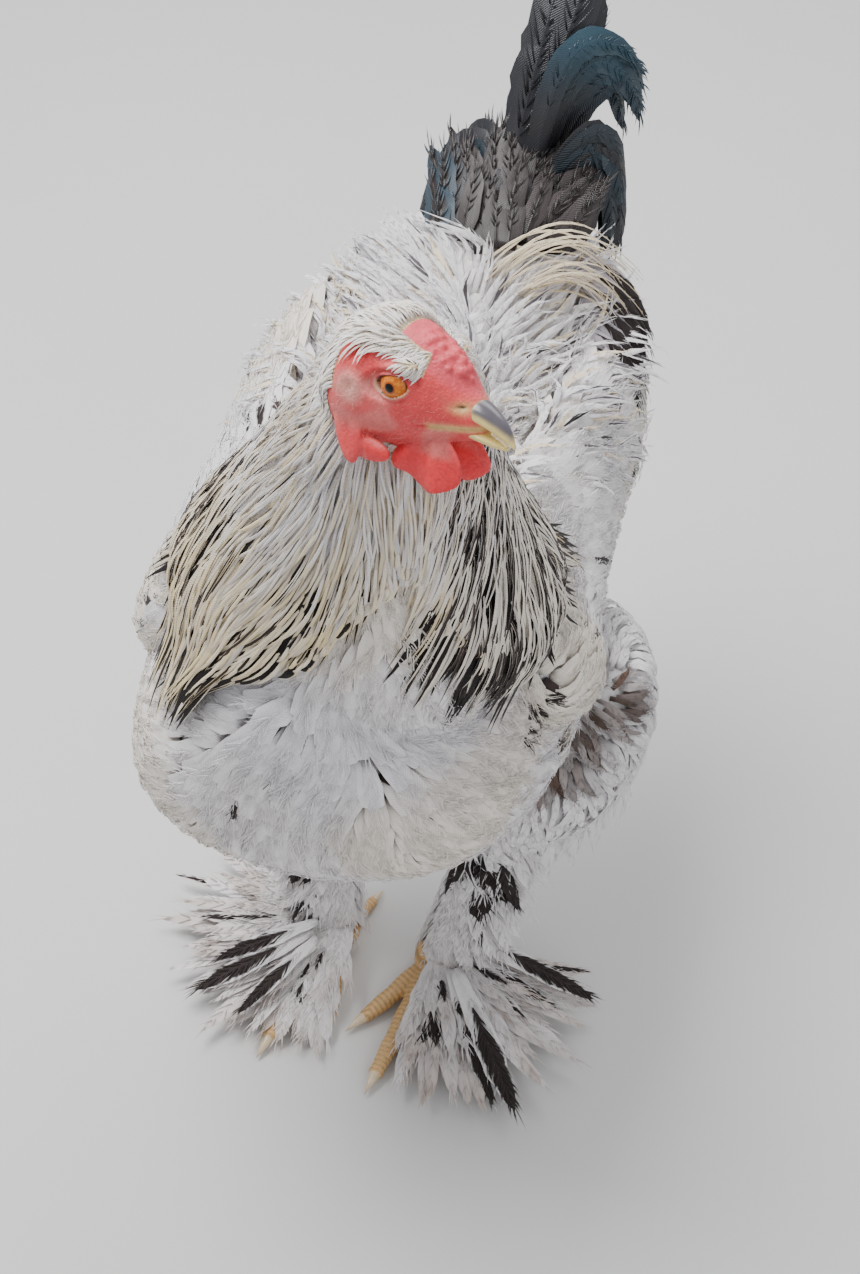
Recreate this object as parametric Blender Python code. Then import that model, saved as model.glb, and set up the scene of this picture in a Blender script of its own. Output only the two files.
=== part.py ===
"""A brahma cock at life size, standing with its head turned to its left.

It faces -Y, its left side is +X, and its toes stand on the floor at z = 0.
The flesh, the comb, the beak, the eyes, the wings, the tail and the legs are
separate closed solids that meet with a gap of 0.3 mm. Feathers are thin vanes
that are joined to the part they grow from.
"""

import math
import random

import bmesh
import bpy
from mathutils import Euler, Matrix, Vector
from mathutils.bvhtree import BVHTree

# The frame's origin: the middle of the whole bird at floor level.
ORIGIN = Vector((0.002, 0.108, 0.0))
GAP = 0.0003
# A cutter is grown along its corners, which moves its faces a little less.
GROW = 1.25 * GAP
# Least height of a laid feather's middle plane over the surface below it.
CLEARANCE = 0.0017
# How far a laid feather that touches another node is raised at a time.
RAISE = 0.0008
VANE_THICK = 0.0012

# Torso with its plumage, from the breast to the root of the tail.
# y: middle x, top, widest height, bottom, half width
TORSO_ROWS = (
    (-0.160, -0.024, 0.350, 0.322, 0.304, 0.018),
    (-0.156, -0.025, 0.384, 0.315, 0.280, 0.048),
    (-0.143, -0.025, 0.412, 0.305, 0.255, 0.077),
    (-0.115, -0.023, 0.430, 0.292, 0.231, 0.102),
    (-0.075, -0.020, 0.434, 0.283, 0.217, 0.117),
    (-0.030, -0.017, 0.428, 0.278, 0.209, 0.125),
    (0.030, -0.014, 0.418, 0.276, 0.204, 0.127),
    (0.090, -0.009, 0.416, 0.288, 0.210, 0.125),
    (0.145, -0.003, 0.426, 0.316, 0.245, 0.121),
    (0.190, 0.003, 0.441, 0.346, 0.285, 0.110),
    (0.228, 0.007, 0.450, 0.378, 0.325, 0.084),
    (0.256, 0.009, 0.446, 0.400, 0.362, 0.050),
    (0.268, 0.010, 0.425, 0.406, 0.388, 0.018),
)
# Above its widest height a section narrows a little faster than an ellipse.
TORSO_TOP_POWER = 1.6
# Core of the neck under its hackle, as level rings. z: centre x, centre y, half width, half depth
NECK_ROWS = (
    (0.340, -0.014, -0.056, 0.066, 0.058),
    (0.370, -0.012, -0.058, 0.080, 0.070),
    (0.400, -0.010, -0.063, 0.088, 0.077),
    (0.430, -0.008, -0.072, 0.082, 0.073),
    (0.465, -0.004, -0.085, 0.069, 0.062),
    (0.500, 0.001, -0.098, 0.055, 0.050),
    (0.535, 0.006, -0.108, 0.043, 0.040),
    (0.572, 0.012, -0.118, 0.031, 0.030),
)
# Length of the longest hackle feathers, by the angle around the neck from the throat, in degrees.
HACKLE_LENGTHS = (
    (-180, 0.100), (-120, 0.105), (-95, 0.100), (-65, 0.140), (-40, 0.118), (-15, 0.080), (10, 0.044),
    (35, 0.052), (60, 0.066), (85, 0.088), (120, 0.128), (150, 0.115), (180, 0.100),
)
# Tiers of the hackle, from the lowest: how many feathers, height of their roots, share of the length.
HACKLE_TIERS = ((15, 0.442, 1.0), (12, 0.476, 0.84), (9, 0.512, 0.66))
# Inside line of the neck and the body, from the head to the rump. Feathers are laid outwards from it.
BODY_LINE = (Vector((0.008, -0.112, 0.560)), Vector((-0.012, -0.045, 0.345)), Vector((0.002, 0.190, 0.360)))

# The head's own frame: the beak points along -Y, its left is +X.
HEAD_PLACE = Vector((0.018, -0.132, 0.5775))
HEAD_YAW = math.radians(59)
HEAD_PITCH = math.radians(-11)
HEAD_ROLL = math.radians(12)
# y: height of the middle, half width, reach up, reach down
HEAD_ROWS = (
    (0.036, -0.006, 0.009, 0.010, 0.011),
    (0.029, -0.006, 0.019, 0.021, 0.022),
    (0.015, -0.003, 0.0245, 0.027, 0.027),
    (0.000, 0.000, 0.0215, 0.028, 0.027),
    (-0.012, 0.000, 0.0185, 0.025, 0.024),
    (-0.024, -0.001, 0.0145, 0.019, 0.018),
    (-0.033, -0.003, 0.0105, 0.011, 0.013),
    (-0.039, -0.005, 0.0078, 0.0075, 0.0090),
    (-0.0425, -0.006, 0.0040, 0.0040, 0.0050),
)
EYE_PLACE = Vector((0.0125, -0.0060, 0.0050))
EYE_RADIUS = 0.0085

BEAK_UPPER_ROWS = (
    (-0.0310, -0.0010, 0.0085, 0.0078),
    (-0.0405, -0.0015, 0.0072, 0.0068),
    (-0.0480, -0.0045, 0.0050, 0.0052),
    (-0.0535, -0.0085, 0.0028, 0.0032),
    (-0.0568, -0.0125, 0.0008, 0.0010),
)
BEAK_LOWER_ROWS = (
    (-0.0310, -0.0095, 0.0075, 0.0032),
    (-0.0405, -0.0105, 0.0062, 0.0034),
    (-0.0480, -0.0122, 0.0038, 0.0026),
    (-0.0530, -0.0136, 0.0014, 0.0012),
)

SIDES = (("left", 1), ("right", -1))

# Hock and foot of each leg, as the bird stands.
HOCK = {"left": Vector((0.057, 0.016, 0.126)), "right": Vector((-0.046, 0.025, 0.124))}
FOOT = {"left": Vector((0.034, -0.001, 0.021)), "right": Vector((-0.033, 0.008, 0.021))}
# Which way the middle toe points, as an angle from -Y towards +X.
FOOT_TURN = {"left": math.radians(-13), "right": math.radians(-16)}
# name: angle from the middle toe, length, radius at the root
TOES = {
    "inner": (math.radians(-24), 0.062, 0.0085),
    "middle": (math.radians(0), 0.092, 0.0090),
    "outer": (math.radians(36), 0.074, 0.0080),
    "hind": (math.radians(187), 0.040, 0.0070),
}
SOLE_FLAT = 0.0012


def clear_scene():
    for obj in list(bpy.data.objects):
        bpy.data.objects.remove(obj, do_unlink=True)


def make_material(name, colour, roughness):
    material = bpy.data.materials.new(name)
    material.use_nodes = True
    shader = material.node_tree.nodes["Principled BSDF"]
    shader.inputs["Base Color"].default_value = (*colour, 1.0)
    shader.inputs["Roughness"].default_value = roughness
    shader.inputs["Metallic"].default_value = 0.0
    return material


def values_at(rows, place):
    """The values at one place, on a smooth curve through the rows."""
    ordered = sorted(rows)
    place = min(max(place, ordered[0][0]), ordered[-1][0])
    last = len(ordered) - 1
    index = next(i for i in range(last) if place <= ordered[i + 1][0])
    start, end = ordered[index], ordered[index + 1]
    before, after = ordered[max(index - 1, 0)], ordered[min(index + 2, last)]
    span = end[0] - start[0]
    share = (place - start[0]) / span
    found = []
    for column in range(1, len(start)):
        slope_start = (end[column] - before[column]) / (end[0] - before[0]) * span
        slope_end = (after[column] - start[column]) / (after[0] - start[0]) * span
        found.append(
            (2 * share**3 - 3 * share**2 + 1) * start[column]
            + (share**3 - 2 * share**2 + share) * slope_start
            + (3 * share**2 - 2 * share**3) * end[column]
            + (share**3 - share**2) * slope_end
        )
    return found


def spread(start, end, count):
    return [start + (end - start) * i / (count - 1) for i in range(count)]


def add_solid(name, points, faces, material):
    mesh = bpy.data.meshes.new(name)
    mesh.from_pydata([tuple(p) for p in points], [], faces)
    mesh.materials.append(material)
    shaper = bmesh.new()
    shaper.from_mesh(mesh)
    bmesh.ops.recalc_face_normals(shaper, faces=shaper.faces)
    if shaper.calc_volume(signed=True) < 0:
        bmesh.ops.reverse_faces(shaper, faces=shaper.faces)
    # A bent four-sided face would be split one way by a cut and another way later.
    bmesh.ops.triangulate(shaper, faces=shaper.faces)
    shaper.to_mesh(mesh)
    shaper.free()
    mesh.shade_smooth()
    obj = bpy.data.objects.new(name, mesh)
    bpy.context.scene.collection.objects.link(obj)
    return obj


def loft(name, rings, material):
    """A closed tube through the rings, each end closed by a fan to its centre."""
    around = len(rings[0])
    points = [p for ring in rings for p in ring]
    faces = []
    for r in range(len(rings) - 1):
        for i in range(around):
            j = (i + 1) % around
            faces.append((r * around + i, r * around + j, (r + 1) * around + j, (r + 1) * around + i))
    for first, ring in ((0, rings[0]), ((len(rings) - 1) * around, rings[-1])):
        points.append(sum((Vector(p) for p in ring), Vector()) / around)
        for i in range(around):
            faces.append((len(points) - 1, first + i, first + (i + 1) % around))
    return add_solid(name, points, faces, material)


def tube(name, spine, radii, material, around=10, squash=1.0, up=Vector((0, 0, 1))):
    """A closed tube along the spine; squash flattens it across the up direction."""
    rings = []
    last = len(spine) - 1
    for i, (point, radius) in enumerate(zip(spine, radii)):
        along = (spine[min(i + 1, last)] - spine[max(i - 1, 0)]).normalized()
        side = along.cross(up).normalized()
        top = side.cross(along)
        ring = []
        for k in range(around):
            angle = 2 * math.pi * k / around
            ring.append(point + side * radius * math.cos(angle) + top * radius * squash * math.sin(angle))
        rings.append(ring)
    return loft(name, rings, material)


def ball(name, centre, radii, material, segments=12, rings=8, turn=None):
    mesh = bpy.data.meshes.new(name)
    shaper = bmesh.new()
    bmesh.ops.create_uvsphere(shaper, u_segments=segments, v_segments=rings, radius=1.0)
    matrix = Matrix.Translation(centre) @ (turn or Matrix()) @ Matrix.Diagonal((*radii, 1.0))
    bmesh.ops.transform(shaper, matrix=matrix, verts=shaper.verts)
    shaper.to_mesh(mesh)
    shaper.free()
    mesh.materials.append(material)
    mesh.shade_smooth()
    obj = bpy.data.objects.new(name, mesh)
    bpy.context.scene.collection.objects.link(obj)
    return obj


def keep_largest(obj):
    """Drops every closed surface of the mesh but the one with the most volume."""
    shaper = bmesh.new()
    shaper.from_mesh(obj.data)
    left = set(shaper.faces)
    groups = []
    while left:
        stack = [left.pop()]
        group = set(stack)
        while stack:
            for edge in stack.pop().edges:
                for face in edge.link_faces:
                    if face in left:
                        left.remove(face)
                        group.add(face)
                        stack.append(face)
        volume = 0.0
        for face in group:
            corners = [v.co for v in face.verts]
            for i in range(1, len(corners) - 1):
                volume += corners[0].dot(corners[i].cross(corners[i + 1])) / 6
        groups.append((abs(volume), len(groups), group))
    groups.sort()
    for _, _, group in groups[:-1]:
        bmesh.ops.delete(shaper, geom=list(group), context="FACES")
    loose = [v for v in shaper.verts if not v.link_faces]
    bmesh.ops.delete(shaper, geom=loose, context="VERTS")
    shaper.to_mesh(obj.data)
    shaper.free()


def apply_modifiers(obj):
    graph = bpy.context.evaluated_depsgraph_get()
    mesh = bpy.data.meshes.new_from_object(obj.evaluated_get(graph))
    obj.modifiers.clear()
    obj.data = mesh


def cut(obj, *cutters, grow=GROW):
    """Takes each cutter, grown by the gap, away from the object."""
    for cutter in cutters:
        grown = cutter.copy()
        grown.data = cutter.data.copy()
        bpy.context.scene.collection.objects.link(grown)
        shaper = bmesh.new()
        shaper.from_mesh(grown.data)
        shaper.normal_update()
        for vert in shaper.verts:
            vert.co += vert.normal * grow
        shaper.to_mesh(grown.data)
        shaper.free()
        difference = obj.modifiers.new("Clear", "BOOLEAN")
        difference.operation = "DIFFERENCE"
        difference.object = grown
        apply_modifiers(obj)
        bpy.data.objects.remove(grown, do_unlink=True)
    keep_largest(obj)


def fuse(obj, pieces):
    """Joins the pieces to the object with one union and keeps its largest closed surface."""
    collection = bpy.data.collections.new(obj.name + "_pieces")
    bpy.context.scene.collection.children.link(collection)
    for piece in pieces:
        bpy.context.scene.collection.objects.unlink(piece)
        collection.objects.link(piece)
    union = obj.modifiers.new("Fuse", "BOOLEAN")
    union.operation = "UNION"
    union.operand_type = "COLLECTION"
    union.collection = collection
    apply_modifiers(obj)
    for piece in pieces:
        bpy.data.objects.remove(piece, do_unlink=True)
    bpy.data.collections.remove(collection)
    keep_largest(obj)


def vane(spine, normals, widths, thick, look):
    """One flat feather: thick along its shaft, sharp at its edges and pointed at its tip."""
    points, faces = [], []
    last = len(spine) - 1
    for i in range(last):
        along = (spine[i + 1] - spine[max(i - 1, 0)]).normalized()
        side = along.cross(normals[i]).normalized()
        rise = side.cross(along) * thick / 2
        points += [spine[i] - side * widths[i], spine[i] + rise, spine[i] + side * widths[i], spine[i] - rise]
    points.append(spine[last])
    for i in range(last - 1):
        low, high = 4 * i, 4 * (i + 1)
        for edge, middle in ((0, 1), (2, 1), (0, 3), (2, 3)):
            faces.append((low + edge, low + middle, high + middle))
            faces.append((low + edge, high + middle, high + edge))
    tip, end = 4 * last, 4 * (last - 1)
    faces += [(end + k, end + (k + 1) % 4, tip) for k in range(4)]
    faces += [(0, 1, 2), (0, 2, 3)]
    return add_solid("vane", points, faces, look)


def widths_of(half_width, count, root=0.45, fullest=0.55):
    """Half widths along a feather, narrow at the root and fullest part of the way to the tip."""
    found = []
    for i in range(count):
        share = i / (count - 1)
        if share < fullest:
            found.append(half_width * (root + (1 - root) * math.sin(math.pi / 2 * share / fullest)))
        else:
            found.append(half_width * math.cos(math.pi / 2 * (share - fullest) / (1 - fullest)) ** 0.7)
    return found


def free_vane(root, way, bend, facing, length, half_width, thick, look, count=6, fullest=0.55):
    """A feather that leaves its root along way and bends towards bend, with one face towards facing."""
    spine = []
    for share in spread(0.0, 1.0, count):
        spine.append(root + way.normalized() * length * share + bend * length * share**2)
    normals = []
    for i in range(count):
        along = (spine[min(i + 1, count - 1)] - spine[max(i - 1, 0)]).normalized()
        normals.append((facing - along * facing.dot(along)).normalized())
    return vane(spine, normals, widths_of(half_width, count, fullest=fullest), thick, look)


def surface_of(*objects):
    points, faces = [], []
    for obj in objects:
        first = len(points)
        points += [v.co.copy() for v in obj.data.vertices]
        faces += [[first + i for i in face.vertices] for face in obj.data.polygons]
    return BVHTree.FromPolygons(points, faces)


def core_of(point):
    """The place on the inside line of the neck and body that is nearest to the point."""
    best = None
    for start, end in zip(BODY_LINE, BODY_LINE[1:]):
        along = end - start
        share = min(max((point - start).dot(along) / along.length_squared, 0.0), 1.0)
        place = start + along * share
        if best is None or (point - place).length < (point - best).length:
            best = place
    return best


def outside_at(surface, point):
    """The outermost place of the surface at the point, and its direction outwards."""
    out = (point - core_of(point)).normalized()
    place, normal, _, _ = surface.ray_cast(point + out * 0.15, -out)
    if place is None:
        return point, out
    return place, (normal + out * 0.5).normalized()


def lift_clear(surface, spine, normals, widths):
    """Raises the stations of a feather until none of it, past its root, dips into the surface."""
    for i in range(1, len(spine) - 1):
        side = (spine[i + 1] - spine[i]).cross(normals[i]).normalized()
        lowest = CLEARANCE
        for share in spread(0.0, 1.0, 9):
            for across in (-1.0, -0.5, 0.0, 0.5, 1.0):
                width = widths[i] + (widths[i + 1] - widths[i]) * share
                point = spine[i].lerp(spine[i + 1], share) + side * width * across
                place, normal = outside_at(surface, point)
                lowest = min(lowest, (point - place).dot(normal))
        spine[i] += normals[i] * (CLEARANCE - lowest)
        spine[i + 1] += normals[i + 1] * (CLEARANCE - lowest)


def laid_vane(surface, others, root, way_at, length, half_width, lifts, look, fullest=0.55):
    """A feather that follows a surface, raised until it's clear of the other nodes, or else left out.

    Each lift is its height over the surface there.
    """
    step = length / (len(lifts) - 1)
    place, normal = outside_at(surface, root)
    spine, normals = [], []
    for lift in lifts:
        spine.append(place + normal * lift)
        normals.append(normal)
        way = way_at(place)
        along = way - normal * way.dot(normal)
        place, normal = outside_at(surface, place + along.normalized() * step)
    widths = widths_of(half_width, len(lifts), fullest=fullest)
    lift_clear(surface, spine, normals, widths)
    feather = vane(spine, normals, widths, VANE_THICK, look)
    for _ in range(8):
        if not surface_of(feather).overlap(others):
            return [feather]
        bpy.data.objects.remove(feather, do_unlink=True)
        spine = [spine[0]] + [p + n * RAISE for p, n in zip(spine[1:], normals[1:])]
        feather = vane(spine, normals, widths, VANE_THICK, look)
    bpy.data.objects.remove(feather, do_unlink=True)
    return []


def ellipse_ring(centre, across, upward, half_width, reach_up, reach_down, around):
    ring = []
    for k in range(around):
        angle = 2 * math.pi * k / around
        reach = reach_up if math.sin(angle) > 0 else reach_down
        ring.append(centre + across * half_width * math.cos(angle) + upward * reach * math.sin(angle))
    return ring


def torso_ring(y, around=20):
    x, top, middle, bottom, half_width = values_at(TORSO_ROWS, y)
    ring = []
    for k in range(around):
        angle = 2 * math.pi * k / around
        power = TORSO_TOP_POWER if math.sin(angle) > 0 else 2.0
        reach = top - middle if math.sin(angle) > 0 else middle - bottom
        across = math.copysign(abs(math.cos(angle)) ** (2 / power), math.cos(angle))
        upward = math.copysign(abs(math.sin(angle)) ** (2 / power), math.sin(angle))
        ring.append(Vector((x + half_width * across, y, middle + reach * upward)))
    return ring


def build_torso(look):
    return loft("torso", [torso_ring(y) for y in spread(-0.160, 0.268, 14)], look)


def add_saddle(torso, wings, tail, look, draw):
    """The saddle hackle, which hangs back over the sides of the rump in two tiers."""
    surface = surface_of(torso, *wings, tail)
    others = surface_of(*wings, tail)
    vanes = []
    for side in (1, -1):
        for tier in range(2):
            for k in range(5):
                share = (k + 0.5 * tier) / 4.5
                root = Vector((0.004 + side * (0.012 + 0.072 * share), 0.172 - 0.098 * share + 0.022 * tier, 0.440))
                way = Vector((side * (0.22 + 0.30 * share), 0.95 - 0.30 * share, -0.40 - 0.35 * share))
                length = (0.082 + 0.008 * tier) * draw.uniform(0.92, 1.10)
                low = 0.0016 + 0.0024 * (1 - tier) + 0.0009 * (k % 2) + draw.uniform(0, 0.0004)
                lifts = (-0.005, low, low + 0.0012, low + 0.0010)
                vanes.extend(laid_vane(surface, others, root, lambda _, w=way: w, length, 0.0145, lifts, look))
    fuse(torso, vanes)


def build_neck(look):
    rings = []
    for z in spread(0.340, 0.572, 8):
        x, y, half_width, half_depth = values_at(NECK_ROWS, z)
        centre = Vector((x, y, z))
        rings.append(
            ellipse_ring(centre, Vector((1, 0, 0)), Vector((0, 1, 0)), half_width, half_depth, half_depth, 16)
        )
    return loft("neck", rings, look)


def hackle_way(place):
    """Down the neck, and away from it over the shoulders."""
    x, y, _, _ = values_at(NECK_ROWS, place.z)
    away = Vector((place.x - x, place.y - y, 0)).normalized()
    return away * 0.60 + Vector((0, 0, -0.80))


def add_hackle(neck, torso, wings, look, draw):
    """Three tiers of long pointed feathers round the neck, shortest at the throat."""
    surface = surface_of(neck, torso, *wings)
    others = surface_of(torso, *wings)
    vanes = []
    for tier, (around, height, share) in enumerate(HACKLE_TIERS):
        for k in range(around):
            turn = -180 + 360 * (k + 0.5 * (tier % 2)) / around
            front = max(0.0, math.cos(math.radians(turn))) ** 2
            z = height + 0.050 * front * (1 - tier / 3)
            x, y, half_width, half_depth = values_at(NECK_ROWS, z)
            angle = math.radians(turn)
            root = Vector((x + half_width * math.sin(angle), y - half_depth * math.cos(angle), z))
            length = values_at(HACKLE_LENGTHS, turn)[0] * share * draw.uniform(0.94, 1.06)
            low = 0.0018 + 0.0016 * tier + 0.0010 * (k % 2) + draw.uniform(0, 0.0004)
            lifts = (-0.004, low, low + 0.0012, low + 0.0010, low + 0.0004)
            half_width = 0.0135 - 0.0012 * tier
            vanes.extend(laid_vane(surface, others, root, hackle_way, length, half_width, lifts, look, 0.45))
    fuse(neck, vanes)


def head_matrix():
    turn = Euler((HEAD_PITCH, HEAD_ROLL, 0)).to_matrix().to_4x4()
    return Matrix.Translation(HEAD_PLACE) @ Matrix.Rotation(HEAD_YAW, 4, "Z") @ turn


def turn_with_head(objects):
    matrix = head_matrix()
    for obj in objects:
        obj.data.transform(matrix)


def ring_round(centre, across, upward, half_width, half_height, radius, look, around=12, sides=5):
    """A closed ring, such as the rim of the eyelids."""
    out = across.cross(upward)
    points, faces = [], []
    for i in range(around):
        angle = 2 * math.pi * i / around
        place = centre + across * half_width * math.cos(angle) + upward * half_height * math.sin(angle)
        away = (across * math.cos(angle) + upward * math.sin(angle)).normalized()
        for k in range(sides):
            turn = 2 * math.pi * k / sides
            points.append(place + away * radius * math.cos(turn) + out * radius * math.sin(turn))
    for i in range(around):
        for k in range(sides):
            here, there = i * sides, (i + 1) % around * sides
            faces.append((here + k, here + (k + 1) % sides, there + (k + 1) % sides, there + k))
    return add_solid("ring", points, faces, look)


def eye_centre(side):
    return Vector((side * EYE_PLACE.x, EYE_PLACE.y, EYE_PLACE.z))


def build_head(look):
    rings = []
    for y in spread(0.036, -0.0425, 12):
        middle, half_width, up, down = values_at(HEAD_ROWS, y)
        centre = Vector((0, y, middle))
        rings.append(
            ellipse_ring(centre, Vector((1, 0, 0)), Vector((0, 0, 1)), half_width, up, down, 16)
        )
    return loft("head", rings, look)


def build_ears(look):
    return [ball("ear", Vector((side * 0.0222, 0.0130, 0.0010)), (0.0032, 0.0064, 0.0060), look, 8, 5) for _, side in SIDES]


def open_face(head, eyes, ears, look):
    """Hollows the eyes, adds their lids and the ears, and cuts the mouth and the nostrils."""
    hollows, rims, holes = [], [], []
    for _, side in SIDES:
        centre = eye_centre(side)
        hollows.append(ball("orbit", centre + Vector((side * 0.0105, 0, 0)), (0.0055, 0.0118, 0.0085), look, 10, 6))
        upward = Vector((-side * 0.16, 0, 1)).normalized()
        rim = centre + Vector((side * 0.0048, 0, 0))
        rims.append(ring_round(rim, Vector((0, -1, 0)), upward, 0.0078, 0.0058, 0.0017, look))
        holes.append(ball("nostril", Vector((side * 0.0100, -0.0345, 0.0010)), (0.0022, 0.0022, 0.0009), look, 6, 4))
        holes.append(ball("ear", Vector((side * 0.0258, 0.0130, 0.0010)), (0.0020, 0.0030, 0.0028), look, 6, 4))
    holes.append(ball("mouth", Vector((0, -0.029, -0.0085)), (0.0135, 0.0120, 0.0005), look, 12, 4))
    turn_with_head([*hollows, *rims, *holes])
    cut(head, *hollows, grow=0)
    fuse(head, [*rims, *ears])
    cut(head, *eyes)
    cut(head, *holes, grow=0)
    for unwanted in (*hollows, *holes):
        bpy.data.objects.remove(unwanted, do_unlink=True)


def build_eye(name, side, look):
    return ball(name, eye_centre(side), (EYE_RADIUS,) * 3, look, 12, 7)


def build_beak(name, rows, reach_up, reach_down, around, look):
    """One half of the beak. Rows hold y: height, half width, reach."""
    rings = []
    for y in spread(rows[0][0], rows[-1][0], 8):
        middle, half_width, reach = values_at(rows, y)
        centre = Vector((0, y, middle))
        rings.append(
            ellipse_ring(
                centre, Vector((1, 0, 0)), Vector((0, 0, 1)), half_width, reach * reach_up, reach * reach_down, around
            )
        )
    return loft(name, rings, look)


def build_comb(look):
    """Three low rows of knobs, the middle one the highest."""
    slope = math.radians(30)
    base = ball(
        "comb", Vector((0, -0.0235, 0.0175)), (0.0105, 0.0215, 0.0085), look, 12, 6, Matrix.Rotation(slope, 4, "X")
    )
    knobs = []
    for x, height in ((-0.0062, 0.0045), (0.0, 0.0080), (0.0062, 0.0045)):
        for k in range(4):
            share = (k + 0.35) / 4
            y = -0.041 + 0.034 * share
            z = 0.0045 + 0.022 * share + height * math.sin(math.pi * (share * 0.8 + 0.15))
            knobs.append(ball("knob", Vector((x, y, z)), (0.0042, 0.0058, 0.0050), look, 7, 4))
    fuse(base, knobs)
    return base


def build_wattle(name, side, look):
    """A thin rounded flap with shallow folds that fan out from its root."""
    half_width, half_length = 0.0165, 0.0130
    wattle = ball(name, Vector(), (0.0034, half_width, half_length), look, 14, 8)
    for vert in wattle.data.vertices:
        below = (half_length - vert.co.z) / (2 * half_length)
        fan = math.atan2(vert.co.y, half_length + 0.004 - vert.co.z)
        vert.co.x += 0.0013 * below * math.cos(7.5 * fan)
    turn = Matrix.Rotation(side * math.radians(-10), 4, "Y") @ Matrix.Rotation(math.radians(10), 4, "X")
    wattle.data.transform(Matrix.Translation(Vector((side * 0.0090, -0.019, -0.026))) @ turn)
    return wattle


def build_earlobe(name, side, look):
    """A long lobe with one fold, below the ear."""
    lobe = ball(name, Vector(), (0.0040, 0.0080, 0.0160), look, 12, 7)
    for vert in lobe.data.vertices:
        vert.co.x += side * 0.0012 * math.cos(vert.co.y / 0.0026) * (0.5 - vert.co.z / 0.032)
    turn = Matrix.Rotation(side * math.radians(-10), 4, "Y")
    lobe.data.transform(Matrix.Translation(Vector((side * 0.0205, 0.0150, -0.0165))) @ turn)
    return lobe


def build_wing(name, side, look):
    """The folded wing, a long flat form on the side of the torso."""
    rows = (
        (-0.065, 0.345, 0.020), (-0.040, 0.342, 0.042), (0.000, 0.340, 0.054), (0.060, 0.342, 0.052),
        (0.120, 0.352, 0.042), (0.170, 0.366, 0.028), (0.205, 0.380, 0.012),
    )
    rings = []
    for y in spread(-0.065, 0.205, 9):
        height, half_height = values_at(rows, y)
        x, top, middle, _, half_width = values_at(TORSO_ROWS, y)
        rise = (height - middle) / (top - middle)
        reach = half_width * (1 - rise**TORSO_TOP_POWER) ** (1 / TORSO_TOP_POWER)
        centre = Vector((x + side * (reach - 0.009), y, height))
        slope = Vector((-side * 0.55, 0, 1)).normalized()
        out = Vector((side * slope.z, 0, abs(slope.x)))
        thick = 0.018 * min(1.0, half_height / 0.034)
        rings.append(ellipse_ring(centre, slope, out, half_height, thick, thick * 0.6, 12))
    return loft(name, rings, look)


def add_wing_feathers(wing, torso, side, look, draw):
    """Primaries and secondaries along the lower edge, and one tier of coverts over them."""
    surface = surface_of(wing, torso)
    others = surface_of(torso)
    vanes = []
    for k in range(7):
        share = k / 6
        root = Vector((side * 0.150, -0.020 + 0.125 * share, 0.350 + 0.022 * share))
        way = Vector((0, 1, -0.62 + 0.60 * share))
        length = (0.074 + 0.040 * share) * draw.uniform(0.96, 1.04)
        low = 0.0016 + 0.0008 * k + draw.uniform(0, 0.0004)
        lifts = (-0.001, low, low, low)
        vanes.extend(laid_vane(surface, others, root, lambda _, w=way: w, length, 0.0125, lifts, look, 0.6))
    for k in range(4):
        share = k / 3
        root = Vector((side * 0.150, -0.022 + 0.105 * share, 0.366 + 0.012 * share))
        way = Vector((0, 1, -0.55 + 0.35 * share))
        length = 0.052 * draw.uniform(0.94, 1.06)
        low = 0.0060 + 0.0008 * k + draw.uniform(0, 0.0004)
        lifts = (-0.001, low, low + 0.0008, low + 0.0006)
        vanes.extend(laid_vane(surface, others, root, lambda _, w=way: w, length, 0.0160, lifts, look, 0.6))
    fuse(wing, vanes)


def build_tail(look):
    """The root of the tail, under its coverts."""
    rings = []
    for y, z, radius in ((0.205, 0.392, 0.030), (0.228, 0.420, 0.036), (0.246, 0.440, 0.030), (0.262, 0.460, 0.014)):
        centre = Vector((0.006, y, z))
        rings.append(ellipse_ring(centre, Vector((1, 0, 0)), Vector((0, 0.75, -0.66)), radius * 1.15, radius, radius, 14))
    return loft("tail", rings, look)


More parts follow.
